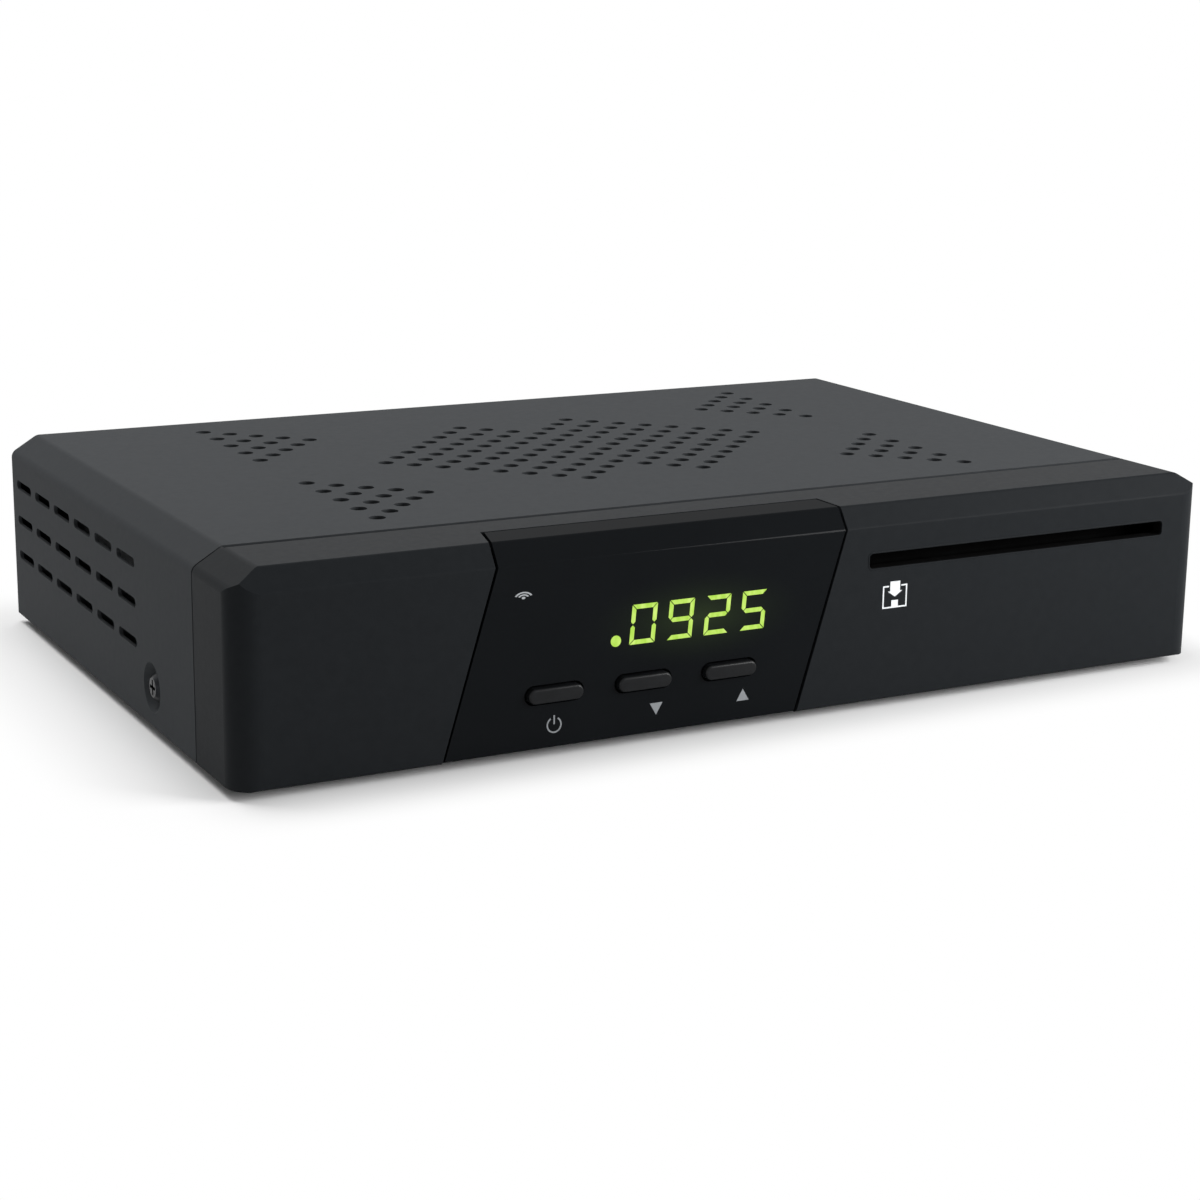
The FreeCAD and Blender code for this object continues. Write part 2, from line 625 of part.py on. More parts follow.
def rear_cutouts():
    """Openings in the rear wall, each a slip gap larger than what passes through."""
    span = (f"inner_y - {BEYOND}", f"wall_y + {BEYOND}")
    depth = f"base_steel + 2 * {BEYOND}"
    tools = []
    for name, width, height in (("hdmi", "hdmi_width", "hdmi_height"),
                                ("usb", "usb_width", "usb_height"),
                                ("lan", "lan_width", "lan_height"),
                                ("power", "power_width", "power_height")):
        tools.append(box(f"{name}_cutout", middle(f"{name}_centre", f"{width} + 2 * slip_gap"),
                         span, ("board_top - slip_gap", f"board_top + {height} + slip_gap")))
    for name, step in AERIALS.items():
        tools.append(rod(f"{name}_cutout", "+y", aerial_x(step), span[0], "aerial_z",
                         "thread_radius + slip_gap", depth))
    for step, name in enumerate(JACKS):
        tools.append(rod(f"{name}_cutout", "+y", jack_x(step), span[0], "jack_z",
                         "collar_radius + slip_gap", depth))
    return tools


def base_slots():
    """Cooling slots in the floor, under the board."""
    return [box(f"base_slot_{side}_{step}",
                middle(f"{sign} * case_width / 5 + {step} * base_slot_pitch", "base_slot_width"),
                middle("seam_y + vent_centre", "base_slot_length"),
                (f"base_z - {BEYOND}", f"floor_z + {BEYOND}"))
            for side, sign in SIDES.items() for step in range(-4, 5)]


def foot_places():
    across = "side_x - foot_inset_x"
    ends = ("seam_y + foot_inset_y", "rear_y - foot_inset_y")
    return [(f"{sign} * ({across})", y) for sign in SIDES.values() for y in ends]


def rubber_feet():
    """Four round feet, each held by a stem through the floor."""
    outline = [("0", "0"), ("foot_radius - foot_height / 2", "0"), ("foot_radius", "foot_height / 2"),
               ("foot_radius", "foot_height"), ("foot_stem_radius", "foot_height"),
               ("foot_stem_radius", "foot_height + foot_stem_length"),
               ("0", "foot_height + foot_stem_length")]
    return group("rubber_feet", *[turned(f"foot_{step}", outline, "+z", x, y, "0")
                                  for step, (x, y) in enumerate(foot_places())])


def cover_screws():
    """One screw in each side dimple and three along the rear lip."""
    sides = [screw(f"{side}_screw", "-x" if sign > 0 else "+x",
                   f"{sign} * (side_x - dimple_depth)", "seam_y + side_screw_back",
                   "base_z + side_screw_level")
             for side, sign in SIDES.items()]
    rear = [screw(f"rear_screw_{step}", "-y", x, "rear_y", "top_z - rear_lip")
            for step, x in enumerate(rear_screw_places())]
    return group("side_screws", *sides), group("rear_screws", *rear)


def front_bezel():
    """Moulded front: a hollow shell with a spigot under the cover and a seat for the panel."""
    shell = front_block("bezel_skin", "0", "seam_y - seam_gap / 2", "base_z", True)
    spigot = prism("bezel_spigot", "xz", section("(steel + slip_gap)", "base_z + steel + slip_gap"),
                   "seam_y - bezel_wall", "bezel_wall + spigot_length")
    hollow = front_block("bezel_hollow", "bezel_wall", f"seam_y + spigot_length + {BEYOND}",
                         "base_z + bezel_wall")
    recess = cut("panel_recess", panel_outline("recess_outline", "panel_gap"),
                 behind_panel("recess_floor", "(panel_thick + play)"))
    tools = [hollow, recess, display_window(), card_slot(), shadow_groove()]
    tools += [button_hole(name, step) for name, step in BUTTONS.items()]
    hollowed = cut("bezel_hollowed", fused("bezel_solid", shell, spigot), *tools)
    bosses = [rod(f"boss_{step}", "+y", x, "front_y + bezel_wall - play", z, "boss_radius",
                  "front_board_y - front_y - bezel_wall + play")
              for step, (x, z) in enumerate(boss_places())]
    bores = [rod(f"boss_bore_{step}", "-y", x, "front_board_y + play", z, "small_screw_radius + fit",
                 "small_length - board_thick + drill_run")
             for step, (x, z) in enumerate(boss_places())]
    return cut("front_bezel", fused("bezel_bossed", hollowed, *bosses), *bores)


def shadow_groove():
    """A shallow step along the upper rear edge, which shows as a dark line before the cover."""
    crest = side_points("0")[1][0]
    return box("shadow_groove", (f"-({crest})", crest),
               ("seam_y - seam_gap / 2 - groove_width", "seam_y"),
               ("top_z - groove_drop", f"top_z + {BEYOND}"))


def display_window():
    return box("display_window", middle("display_centre", "display_width + 2 * slip_gap"),
               ("front_y + panel_thick", f"front_y + bezel_wall + {BEYOND}"),
               middle("base_z + display_level", "display_height + 2 * slip_gap"))


def card_slot():
    corners = square("card_slot_centre", "slot_z", "card_slot_width", "card_slot_height")
    slot = prism("card_slot", "xz", corners, f"front_y - {BEYOND}", f"bezel_wall + 2 * {BEYOND}")
    round_corners(slot, "xz", corners, "card_slot_round")
    return slot


def button_hole(name, step):
    return obround(f"{name}_hole", button_x(step), "button_z", "button_length + 2 * button_gap",
                   "button_height + 2 * button_gap", f"front_y - {BEYOND}",
                   f"bezel_wall + 2 * {BEYOND}")


def boss_places():
    """Screw places near the corners of the front board."""
    left, right = middle("front_board_centre", "front_board_width - 2 * boss_inset")
    low = "base_z + front_board_low + boss_inset"
    high = "base_z + front_board_low + front_board_height - boss_inset"
    return [(left, low), (left, high), (right, low), (right, high)]


def centre_panel():
    """Gloss panel that wraps from the face over the sloping edge on to the top."""
    corners = profile("0", f"seam_y + {BEYOND}", "base_z")
    skin = prism("panel_skin", "yz", corners, "panel_centre - panel_width", "2 * panel_width")
    round_corners(skin, "yz", corners[:3], "edge_round")
    slab = shared("panel_slab", panel_outline("panel_sides", "0"), skin)
    holes = [button_hole(f"panel_{name}", step) for name, step in BUTTONS.items()]
    return cut("centre_panel", slab, behind_panel("panel_back", "panel_thick"), *holes)


# Front electronics and buttons


def button(name, step):
    """A cap that shows through the panel, a flange that holds it in and a stem to its switch."""
    cap = obround(f"{name}_cap", button_x(step), "button_z", "button_length", "button_height",
                  "front_y - button_proud", "flange_y - front_y + button_proud + play")
    flange = obround(f"{name}_flange", button_x(step), "button_z",
                     "button_length + 2 * button_flange", "button_height + 2 * button_flange",
                     "flange_y", "flange_thick")
    stem = rod(f"{name}_stem", "+y", button_x(step), "stem_y - play", "button_z", "stem_radius",
               "stem_length + play")
    return fused(f"{name}_button", cap, flange, stem)


def plunger(name, step):
    return rod(f"{name}_plunger", "+y", button_x(step), "plunger_y", "button_z", "plunger_radius",
               "plunger_out + plunger_in")


def tact_switches():
    """Three switch bodies on the front board, each with the bore of its plunger."""
    switches = []
    for name, step in BUTTONS.items():
        block = box(f"{name}_switch_block", middle(button_x(step), "switch_width"),
                    after("switch_y", "switch_depth"), middle("button_z", "switch_width"))
        bore = rod(f"{name}_switch_bore", "+y", button_x(step), f"switch_y - {BEYOND}", "button_z",
                   "plunger_radius + play", f"{BEYOND} + plunger_in + button_travel + slip_gap")
        switches.append(cut(f"{name}_switch", block, bore))
    return group("tact_switches", *switches)


def display_module():
    """Black housing of four digits, with a shallow bed for each digit's bars."""
    housing = box("display_block", middle("display_centre", "display_width"),
                  ("front_y + panel_thick + slip_gap", "front_board_y"),
                  middle("base_z + display_level", "display_height"))
    return cut("display_module", housing, *digit_bars("bed", "segment_play"))


def digit_bars(kind, gap):
    """The seven bars of each digit; the upright ones lean as the digits do."""
    face = "front_y + panel_thick + slip_gap"
    deep = "segment_depth + segment_play" if kind == "bed" else "segment_depth"
    start = f"{face} - play" if kind == "bed" else face
    bars = []
    for digit in range(4):
        x = f"display_centre + ({digit} - 1.5) * digit_pitch"
        for level in (-1, 0, 1):
            rise = f"{level} * (digit_height - segment_width) / 2"
            width = f"digit_width - 2 * segment_width - 2 * segment_play + 2 * {gap}"
            bars.append(box(f"{kind}_{digit}_flat_{level + 1}",
                            middle(f"{x} + tan(digit_slant) * {rise}", width),
                            after(start, deep),
                            middle(f"base_z + display_level + {rise}",
                                   f"segment_width - segment_play + {gap} / 2")))
        for side in (-1, 1):
            for level in (-1, 1):
                bars.append(upright_bar(f"{kind}_{digit}_up_{side + 1}_{level + 1}", x, side,
                                        level, gap, start, deep))
    return bars


def upright_bar(name, x, side, level, gap, start, deep):
    """A leaning bar beside the digit's centre, in its upper or lower half."""
    length = f"digit_height / 2 - 2 * segment_width + {gap}"
    width = f"segment_width - segment_play + {gap} / 2"
    mid = f"{level} * digit_height / 4"
    foot = f"{mid} - ({length}) / 2"
    head = f"{mid} + ({length}) / 2"
    place = f"{x} + {side} * (digit_width - segment_width) / 2"
    corners = [(f"{place} + tan(digit_slant) * ({end}) + {sign} * ({width}) / 2",
                f"base_z + display_level + {end}")
               for end, sign in ((foot, -1), (foot, 1), (head, 1), (head, -1))]
    return prism(name, "xz", corners, start, deep)


def infrared_sensor():
    """Remote sensor with a round lens in front and three legs into the board."""
    low, high = middle("base_z + sensor_level", "sensor_height")
    start = "front_y + bezel_wall + slip_gap"
    block = box("sensor_block", middle("sensor_centre", "sensor_width"),
                after(start, "sensor_depth"), (low, high))
    legs = [box(f"sensor_leg_{step}", middle(f"sensor_centre + ({step} - 1) * leg_pitch", "leg_width"),
                (f"{start} + sensor_depth - play", "front_board_y"), after(low, "leg_height"))
            for step in range(3)]
    return fused("infrared_sensor", block, *legs)


def front_board():
    low = "base_z + front_board_low"
    left, right = middle("front_board_centre", "front_board_width")
    high = f"{low} + front_board_height"
    corners = [(left, low), (right, low), (right, high), (left, high)]
    holes = [(x, z, "small_screw_radius + play") for x, z in boss_places()]
    return prism("front_board", "xz", corners, "front_board_y", "board_thick", holes)


def front_board_screws():
    return group("front_board_screws",
                 *[screw(f"front_board_screw_{step}", "-y", x, "front_board_y + board_thick", z,
                         "small")
                   for step, (x, z) in enumerate(boss_places())])


# Card reader


def card_posts():
    """Places of the posts that carry the card board."""
    return [(f"card_slot_centre + {side} * card_post_spread",
             f"seam_y + card_post_first + {step} * card_post_step")
            for side in SIDES.values() for step in range(2)]


def card_board():
    left, right = middle("card_slot_centre", "card_board_width")
    near, far = after("reader_y", "card_board_length")
    corners = [(left, near), (right, near), (right, far), (left, far)]
    holes = [(x, y, "small_screw_radius + play") for x, y in card_posts()]
    return prism("card_board", "xy", corners, "card_board_z", "board_thick", holes)


def card_standoffs():
    """Tall posts from the floor to the card board, tapped at the top."""
    posts = []
    for step, (x, y) in enumerate(card_posts()):
        post = hexagon(f"card_post_{step}", "+z", x, y, "floor_z", "2 * post_radius",
                       "card_board_z - floor_z")
        bore = rod(f"card_post_bore_{step}", "-z", x, y, f"card_board_z + {BEYOND}",
                   "small_screw_radius + fit", f"small_length - board_thick + drill_run + {BEYOND}")
        posts.append(cut(f"card_standoff_{step}", post, bore))
    return group("card_standoffs", *posts)


def card_board_screws():
    return group("card_board_screws",
                 *[screw(f"card_screw_{step}", "-z", x, y, "card_board_z + board_thick", "small")
                   for step, (x, y) in enumerate(card_posts())])


def contact_places():
    return [(f"card_slot_centre + ({column} - 1.5) * contact_pitch",
             f"reader_y + contact_back + {row} * contact_rows")
            for row in range(2) for column in range(4)]


def card_reader_frame():
    """Plastic frame with the channel that takes the card and windows for its contacts."""
    height = "reader_floor + card_channel + reader_roof"
    block = box("reader_block", middle("card_slot_centre", "reader_width"),
                after("reader_y", "reader_length"), after("reader_z", height))
    channel = box("reader_channel", middle("card_slot_centre", "card_width"),
                  (f"reader_y - {BEYOND}", "reader_y + reader_length - reader_stop"),
                  after("reader_z + reader_floor", "card_channel"))
    windows = [box(f"reader_window_{step}", middle(x, "contact_width + 2 * slip_gap"),
                   middle(y, "contact_length + 2 * slip_gap"),
                   (f"reader_z - {BEYOND}", "reader_z + reader_floor + play"))
               for step, (x, y) in enumerate(contact_places())]
    return cut("card_reader_frame", block, channel, *windows)


def card_contacts():
    """Eight sprung contacts on the card board, each a bar with a raised nose."""
    bars = []
    for step, (x, y) in enumerate(contact_places()):
        low, high = middle(y, "contact_length")
        corners = [(low, "reader_z"), (high, "reader_z"), (high, "reader_z + reader_floor / 3"),
                   (f"({y}) + contact_length / 4", "reader_z + reader_floor"),
                   (y, "reader_z + reader_floor"), (low, "reader_z + reader_floor / 3")]
        bars.append(prism(f"card_contact_{step}", "yz", corners,
                          f"{x} - contact_width / 2", "contact_width"))
    return group("card_contacts", *bars)


def card_header():
    """Pin header that joins the card board to the main board below it."""
    block = box("card_header", middle("card_slot_centre", "card_header_width"),
                middle("seam_y + card_header_back", "card_header_depth"),
                ("board_top", "card_board_z"))
    return block


# Main board and what stands on it


def standoff_places():
    across = "board_width / 2 - standoff_inset"
    ends = ("board_front + standoff_inset", "board_back - tuner_depth - standoff_inset")
    corners = [(f"{sign} * ({across})", y) for sign in SIDES.values() for y in ends]
    return corners + [("0", ends[0])]


def main_board():
    left, right = middle("0", "board_width")
    corners = [(left, "board_front"), (right, "board_front"), (right, "board_back"),
               (left, "board_back")]
    holes = [(x, y, "small_screw_radius + play") for x, y in standoff_places()]
    return prism("main_board", "xy", corners, "board_z", "board_thick", holes)


def board_standoffs():
    posts = []
    for step, (x, y) in enumerate(standoff_places()):
        post = hexagon(f"post_{step}", "+z", x, y, "floor_z", "2 * standoff_radius",
                       "standoff_height")
        bore = rod(f"post_bore_{step}", "-z", x, y, f"board_z + {BEYOND}",
                   "small_screw_radius + fit", f"small_length - board_thick + drill_run + {BEYOND}")
        posts.append(cut(f"standoff_{step}", post, bore))
    return group("board_standoffs", *posts)


def board_screws():
    return group("board_screws",
                 *[screw(f"board_screw_{step}", "-z", x, y, "board_top", "small")
                   for step, (x, y) in enumerate(standoff_places())])


def aerial_x(step):
    return f"tuner_centre + {step} * aerial_pitch / 2"


def tuner():
    """Tinned can over the tuner and its press-on lid."""
    across = middle("tuner_centre", "tuner_width")
    along = ("board_back - tuner_depth", "board_back")
    block = box("tuner_block", across, along, after("board_top", "tuner_height"))
    room = box("tuner_room", middle("tuner_centre", "tuner_width - 2 * tin"),
               ("board_back - tuner_depth + tin", "board_back - tin"),
               (f"board_top - {BEYOND}", f"board_top + tuner_height + {BEYOND}"))
    can = cut("tuner_can", block, room)
    plate = box("lid_plate", across, along, after("board_top + tuner_height", "tin"))
    inner = box("lid_skirt_block", middle("tuner_centre", "tuner_width - 2 * tin - 2 * play"),
                ("board_back - tuner_depth + tin + play", "board_back - tin - play"),
                ("board_top + tuner_height - lid_skirt", "board_top + tuner_height + tin / 2"))
    hollow = box("lid_skirt_room", middle("tuner_centre", "tuner_width - 4 * tin - 2 * play"),
                 ("board_back - tuner_depth + 2 * tin + play", "board_back - 2 * tin - play"),
                 (f"board_top + tuner_height - lid_skirt - {BEYOND}", "board_top + tuner_height"))
    lid = cut("tuner_lid", fused("lid_solid", plate, inner), hollow)
    return can, lid


def aerial_connector(name, step):
    """Threaded socket on the tuner, with a deep bore for its insulator."""
    ridges = []
    turns = round(value("connector_reach / thread_pitch")) - 1
    for turn in range(turns):
        crest = f"tip_y - ({turn} + 0.5) * thread_pitch"
        ridges += [("thread_radius", crest), ("thread_root", f"{crest} - thread_pitch / 2")]
    ridges.reverse()
    outline = [("0", "0"), ("connector_flange", "0"), ("connector_flange", "board_gap - play"),
               ("thread_radius", "board_gap - play"),
               ("thread_radius", f"tip_y - {turns} * thread_pitch - thread_pitch / 2"),
               *ridges, ("thread_root", "tip_y"), ("connector_bore", "tip_y"),
               ("connector_bore", "tip_y - bore_depth"), ("0", "tip_y - bore_depth")]
    return turned(f"{name}_connector", outline, "+y", aerial_x(step), "board_back", "aerial_z")


def aerial_insulators():
    """Plastic inserts with the hole for the cable's centre wire."""
    outline = [("contact_hole", "tip_y - bore_depth"), ("connector_bore - fit", "tip_y - bore_depth"),
               ("connector_bore - fit", "tip_y - insulator_recess"),
               ("contact_hole * 2", "tip_y - insulator_recess"),
               ("contact_hole", "tip_y - insulator_recess - insulator_lead")]
    return group("aerial_insulators",
                 *[turned(f"{name}_insulator", outline, "+y", aerial_x(step), "board_back",
                          "aerial_z") for name, step in AERIALS.items()])


def aerial_fasteners():
    """A washer and a nut that clamp each threaded socket to the rear wall."""
    nuts, washers = [], []
    for name, step in AERIALS.items():
        x, hole = aerial_x(step), "thread_radius + fit"
        ring = rod(f"{name}_washer_disc", "+y", x, "wall_y", "aerial_z", "washer_radius",
                   "washer_thick")
        washers.append(cut(f"{name}_washer", ring,
                           rod(f"{name}_washer_hole", "+y", x, f"wall_y - {BEYOND}", "aerial_z",
                               hole, f"washer_thick + 2 * {BEYOND}")))
        block = hexagon(f"{name}_nut_block", "+y", x, "wall_y + washer_thick", "aerial_z",
                        "nut_across", "nut_thick")
        nuts.append(cut(f"{name}_nut", block,
                        rod(f"{name}_nut_hole", "+y", x, "wall_y", "aerial_z", hole,
                            f"washer_thick + nut_thick + {BEYOND}")))
    return group("aerial_washers", *washers), group("aerial_nuts", *nuts)


def shell_socket(name, width, height, length, centre, tongue_low):
    """A folded metal shell with a blade inside, as a video or data socket has."""
    block = box(f"{name}_block", middle(centre, width), ("socket_y - " + length, "socket_y"),
                after("board_top", height))
    room = box(f"{name}_room", middle(centre, f"{width} - 2 * shell_wall"),
               ("socket_y - shell_depth", f"socket_y + {BEYOND}"),
               ("board_top + shell_wall", f"board_top + {height} - shell_wall"))
    tongue = box(f"{name}_tongue", middle(centre, f"{width} - 4 * shell_wall - 2 * tongue_side"),
                 ("socket_y - shell_depth - play", "socket_y - tongue_recess"),
                 after(f"board_top + {tongue_low}", "tongue_height"))
    return fused(f"{name}_socket", cut(f"{name}_shell", block, room), tongue)


def network_socket():
    block = box("lan_block", middle("lan_centre", "lan_width"),
                ("socket_y - lan_length", "socket_y"), after("board_top", "lan_height"))
    port = box("lan_port", middle("lan_centre", "lan_port_width"),
               ("socket_y - lan_port_depth", f"socket_y + {BEYOND}"),
               after("board_top + lan_port_low", "lan_port_height"))
    latch = box("lan_latch", middle("lan_centre", "lan_port_width / 2"),
                ("socket_y - lan_port_depth", f"socket_y + {BEYOND}"),
                ("board_top + lan_port_low / 2", "board_top + lan_port_low + play"))
    return cut("network_socket", block, port, latch)


def power_socket():
    """Inlet for the supply's round plug, with its centre pin."""
    block = box("power_block", middle("power_centre", "power_width"),
                ("socket_y - power_length", "socket_y"), after("board_top", "power_height"))
    bore = rod("power_bore_room", "-y", "power_centre", f"socket_y + {BEYOND}", "power_z",
               "power_bore", f"power_bore_depth + {BEYOND}")
    contact = rod("power_contact", "-y", "power_centre", "socket_y - pin_recess", "power_z",
                  "power_pin", "power_bore_depth - pin_recess + play")
    return fused("power_socket", cut("power_housing", block, bore), contact)


def jack_x(step):
    return f"jack_first + {step} * jack_pitch"


def jack_block():
    last = jack_x(len(JACKS) - 1)
    return box("jack_block", ("jack_first - jack_pitch / 2", f"{last} + jack_pitch / 2"),
               ("board_back - jack_block_depth", "board_back"),
               after("board_top", "jack_block_height"))


def jack_collar(name, step):
    """Coloured collar round one jack."""
    ring = rod(f"{name}_disc", "+y", jack_x(step), "board_back", "jack_z", "collar_radius",
               "wall_y + collar_length - board_back")
    hole = rod(f"{name}_disc_hole", "+y", jack_x(step), f"board_back - {BEYOND}", "jack_z",
               "sleeve_root + fit", f"wall_y + collar_length - board_back + 2 * {BEYOND}")
    return cut(f"{name}_collar", ring, hole)


def jack_sleeves():
    """Metal sleeves of the jacks, each round a small hole for the plug's pin."""
    reach = "wall_y + sleeve_reach - board_back"
    step_up = "wall_y + collar_length + play - board_back"
    outline = [("0", "0"), ("sleeve_root", "0"), ("sleeve_root", step_up),
               ("sleeve_radius", step_up), ("sleeve_radius", f"{reach} - sleeve_bevel"),
               ("sleeve_radius - sleeve_bevel", reach), ("plug_hole", reach),
               ("plug_hole", f"{reach} - sleeve_bore"), ("0", f"{reach} - sleeve_bore")]
    return group("jack_sleeves",
                 *[turned(f"{name}_sleeve", outline, "+y", jack_x(step), "board_back", "jack_z")
                   for step, name in enumerate(JACKS)])


def processor():
    """Main chip, the pad on it and the finned sink that cools it."""
    chip = box("processor_chip", middle("chip_centre", "chip_width"), middle("chip_y", "chip_width"),
               after("board_top", "chip_thick"))
    pad = box("thermal_pad", middle("chip_centre", "pad_width"), middle("chip_y", "pad_width"),
              after("board_top + chip_thick", "pad_thick"))
    base = box("sink_plate", middle("chip_centre", "sink_width"), middle("chip_y", "sink_width"),
               after("sink_z", "sink_base"))
    fins = [box(f"fin_{step}",
                middle(f"chip_centre + {step} * (sink_width - fin_thick) / 8", "fin_thick"),
                middle("chip_y", "sink_width"), after("sink_z + sink_base - play",
                                                      "fin_height + play"))
            for step in range(-4, 5)]
    return chip, pad, fused("heat_sink", base, *fins)


def memory_chips():
    """Two memory chips beside the processor."""
    spot = "chip_centre + sink_width / 2 + memory_gap"
    return group("memory_chips",
                 *[box(f"memory_{step}", middle(spot, "memory_width"),
                       middle(f"chip_y + {step} * (memory_length / 2 + memory_space)", "memory_length"),
                       after("board_top", "memory_thick")) for step in (-1, 1)])


def crystal():
    """Metal-cased timing crystal, lying beside the processor."""
    spot = "chip_centre - sink_width / 2 - memory_gap"
    reach = "(crystal_length - crystal_width) / 2"
    bar = box("crystal_bar", middle(spot, "crystal_width"), middle("chip_y", f"2 * {reach}"),
              after("board_top", "crystal_height"))
    ends = [rod(f"crystal_end_{step}", "+z", spot, f"chip_y + {step} * {reach}", "board_top",
                "crystal_width / 2", "crystal_height") for step in (-1, 1)]
    return fused("timing_crystal", bar, *ends)


def power_coils():
    """Two moulded coils behind the power inlet."""
    coils = []
    for step in range(2):
        centre = f"power_centre - power_width / 2 - {step} * coil_pitch"
        coil = prism(f"coil_{step}", "xy", square(centre, "board_back - coil_forward", "coil_width"),
                     "board_top", "coil_height")
        round_corners(coil, "xy", square(centre, "board_back - coil_forward", "coil_width"),
                      "coil_width / 5")
        coils.append(coil)
    return group("power_coils", *coils)


def capacitors():
    """Five upright cans on the power side, each with a vented rim."""
    outline = [("0", "0"), ("can_radius", "0"), ("can_radius", "can_height - can_rim"),
               ("can_radius - can_rim", "can_height"), ("0", "can_height")]
    return group("capacitors",
                 *[turned(f"can_{step}", outline, "+z",
                          f"power_centre - {step % 3} * can_pitch - {step // 3} * can_pitch / 2",
                          f"board_back - can_forward + {step // 3} * can_pitch", "board_top")
                   for step in range(5)])


# Ribbon cable and its headers


def ribbon():
    """Flat cable from the front board back over the gap and down to the main board."""
    across = middle("ribbon_centre", "header_width")
    level = "base_z + ribbon_level"
    front = box("front_header", across,
                after("front_board_y + board_thick", "header_height"),
                middle(level, "header_depth"))
    back_y = "board_back - header_forward"
    rear = box("main_header", across, middle(back_y, "header_depth"),
               after("board_top", "header_height"))
    start = "front_board_y + board_thick + header_height"
    low, high = middle(level, "ribbon_thick")
    near, far = middle(back_y, "ribbon_thick")
    foot = "board_top + header_height"
    corners = [(start, low), (near, low), (near, foot), (far, foot), (far, high), (start, high)]
    cable = prism("ribbon_cable", "yz", corners, "ribbon_centre - ribbon_width / 2", "ribbon_width")
    round_corners(cable, "yz", [(near, low)], "ribbon_bend")
    round_corners(cable, "yz", [(far, high)], "ribbon_bend + ribbon_thick")
    return front, rear, cable


def build():
    """Make every part in the order of its assembly."""
    parts = [bottom_chassis(), rubber_feet(), board_standoffs(), main_board(), board_screws()]
    parts += [*tuner(), *[aerial_connector(*item) for item in AERIALS.items()]]
    parts += [aerial_insulators(), *aerial_fasteners()]
    parts.append(shell_socket("hdmi", "hdmi_width", "hdmi_height", "hdmi_length", "hdmi_centre",
                              "hdmi_height / 2 - tongue_height / 2"))
    parts.append(shell_socket("usb", "usb_width", "usb_height", "usb_length", "usb_centre",
                              "usb_height - 2 * shell_wall - tongue_height"))
    parts += [network_socket(), power_socket(), jack_block()]
    parts += [jack_collar(name, step) for step, name in enumerate(JACKS)]
    parts += [jack_sleeves(), *processor(), memory_chips(), crystal(), power_coils(), capacitors()]
    parts += [card_standoffs(), card_board(), card_board_screws(), card_reader_frame()]
    parts += [card_contacts(), card_header()]
    parts += [front_bezel(), centre_panel(), front_board(), front_board_screws(), tact_switches()]
    parts += [button(name, step) for name, step in BUTTONS.items()]
    parts += [plunger(name, step) for name, step in BUTTONS.items()]
    parts += [display_module(), group("display_segments", *digit_bars("bar", "0"))]
    parts += [infrared_sensor(), *ribbon(), top_cover(), *cover_screws()]
    for part in parts:
        node(part)


def check_and_write():
    """Stop at any failed object; otherwise write each part to its own file."""
    doc.recompute()
    failed = [item.Name for item in doc.Objects if {"Invalid", "Error"} & set(item.State)]
    if failed:
        raise RuntimeError(f"failed objects: {failed}")
    for item in nodes:
        if item.Shape.isNull() or not item.Shape.isValid() or not item.Shape.Solids:
            raise RuntimeError(f"bad shape: {item.Label}")
    os.makedirs("parts", exist_ok=True)
    for item in nodes:
        item.Shape.exportStep(f"parts/{item.Label}.step")
    print(len(nodes), "parts written")


build()
check_and_write()
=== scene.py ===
import json
import math

import bmesh
import bpy
from mathutils import Matrix, Vector


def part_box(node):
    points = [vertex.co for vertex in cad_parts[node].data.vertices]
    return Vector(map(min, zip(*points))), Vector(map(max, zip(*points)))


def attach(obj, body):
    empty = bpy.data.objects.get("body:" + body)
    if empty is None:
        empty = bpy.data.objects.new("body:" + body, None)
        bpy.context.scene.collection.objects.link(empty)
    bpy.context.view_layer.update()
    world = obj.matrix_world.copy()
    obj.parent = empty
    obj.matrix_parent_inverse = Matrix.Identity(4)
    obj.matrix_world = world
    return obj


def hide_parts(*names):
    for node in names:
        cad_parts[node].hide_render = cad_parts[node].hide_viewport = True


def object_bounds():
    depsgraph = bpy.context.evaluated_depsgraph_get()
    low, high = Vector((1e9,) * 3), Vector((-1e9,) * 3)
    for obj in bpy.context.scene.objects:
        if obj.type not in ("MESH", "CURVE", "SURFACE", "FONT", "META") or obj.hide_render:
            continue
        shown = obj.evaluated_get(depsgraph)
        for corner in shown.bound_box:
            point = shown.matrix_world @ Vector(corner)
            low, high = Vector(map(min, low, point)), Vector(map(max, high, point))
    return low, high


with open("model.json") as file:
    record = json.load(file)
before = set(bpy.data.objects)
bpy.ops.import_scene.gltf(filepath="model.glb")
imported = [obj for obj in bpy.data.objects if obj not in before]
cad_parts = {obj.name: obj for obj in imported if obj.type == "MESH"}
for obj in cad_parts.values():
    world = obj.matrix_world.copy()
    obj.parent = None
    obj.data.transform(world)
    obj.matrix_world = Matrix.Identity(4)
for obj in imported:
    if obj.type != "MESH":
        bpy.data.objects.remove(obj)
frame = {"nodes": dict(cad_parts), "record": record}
cad_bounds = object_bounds()

# Sizes are in millimetres and are scaled where they are used, unless their comment says metres.
# Heights on the front are measured from the underside of the case, and places across it from
# its middle.
MM = 0.001
CASE = "case"

FACE_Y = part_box("centre_panel")[0].y / MM
BASE_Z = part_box("front_bezel")[0].z / MM
REAR_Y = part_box("top_cover")[1].y / MM

# Camera, from the fit to the case's corners and vents; angles are in degrees.
CAMERA_PLACE = (-245.59, -465.26, 140.99)
CAMERA_AZIMUTH, CAMERA_RISE, CAMERA_ROLL = -29.13, 13.41, 0.945
CAMERA_SENSOR, CAMERA_LENS, CAMERA_SHIFT = 36, 72.5, (-0.0333, -0.025)

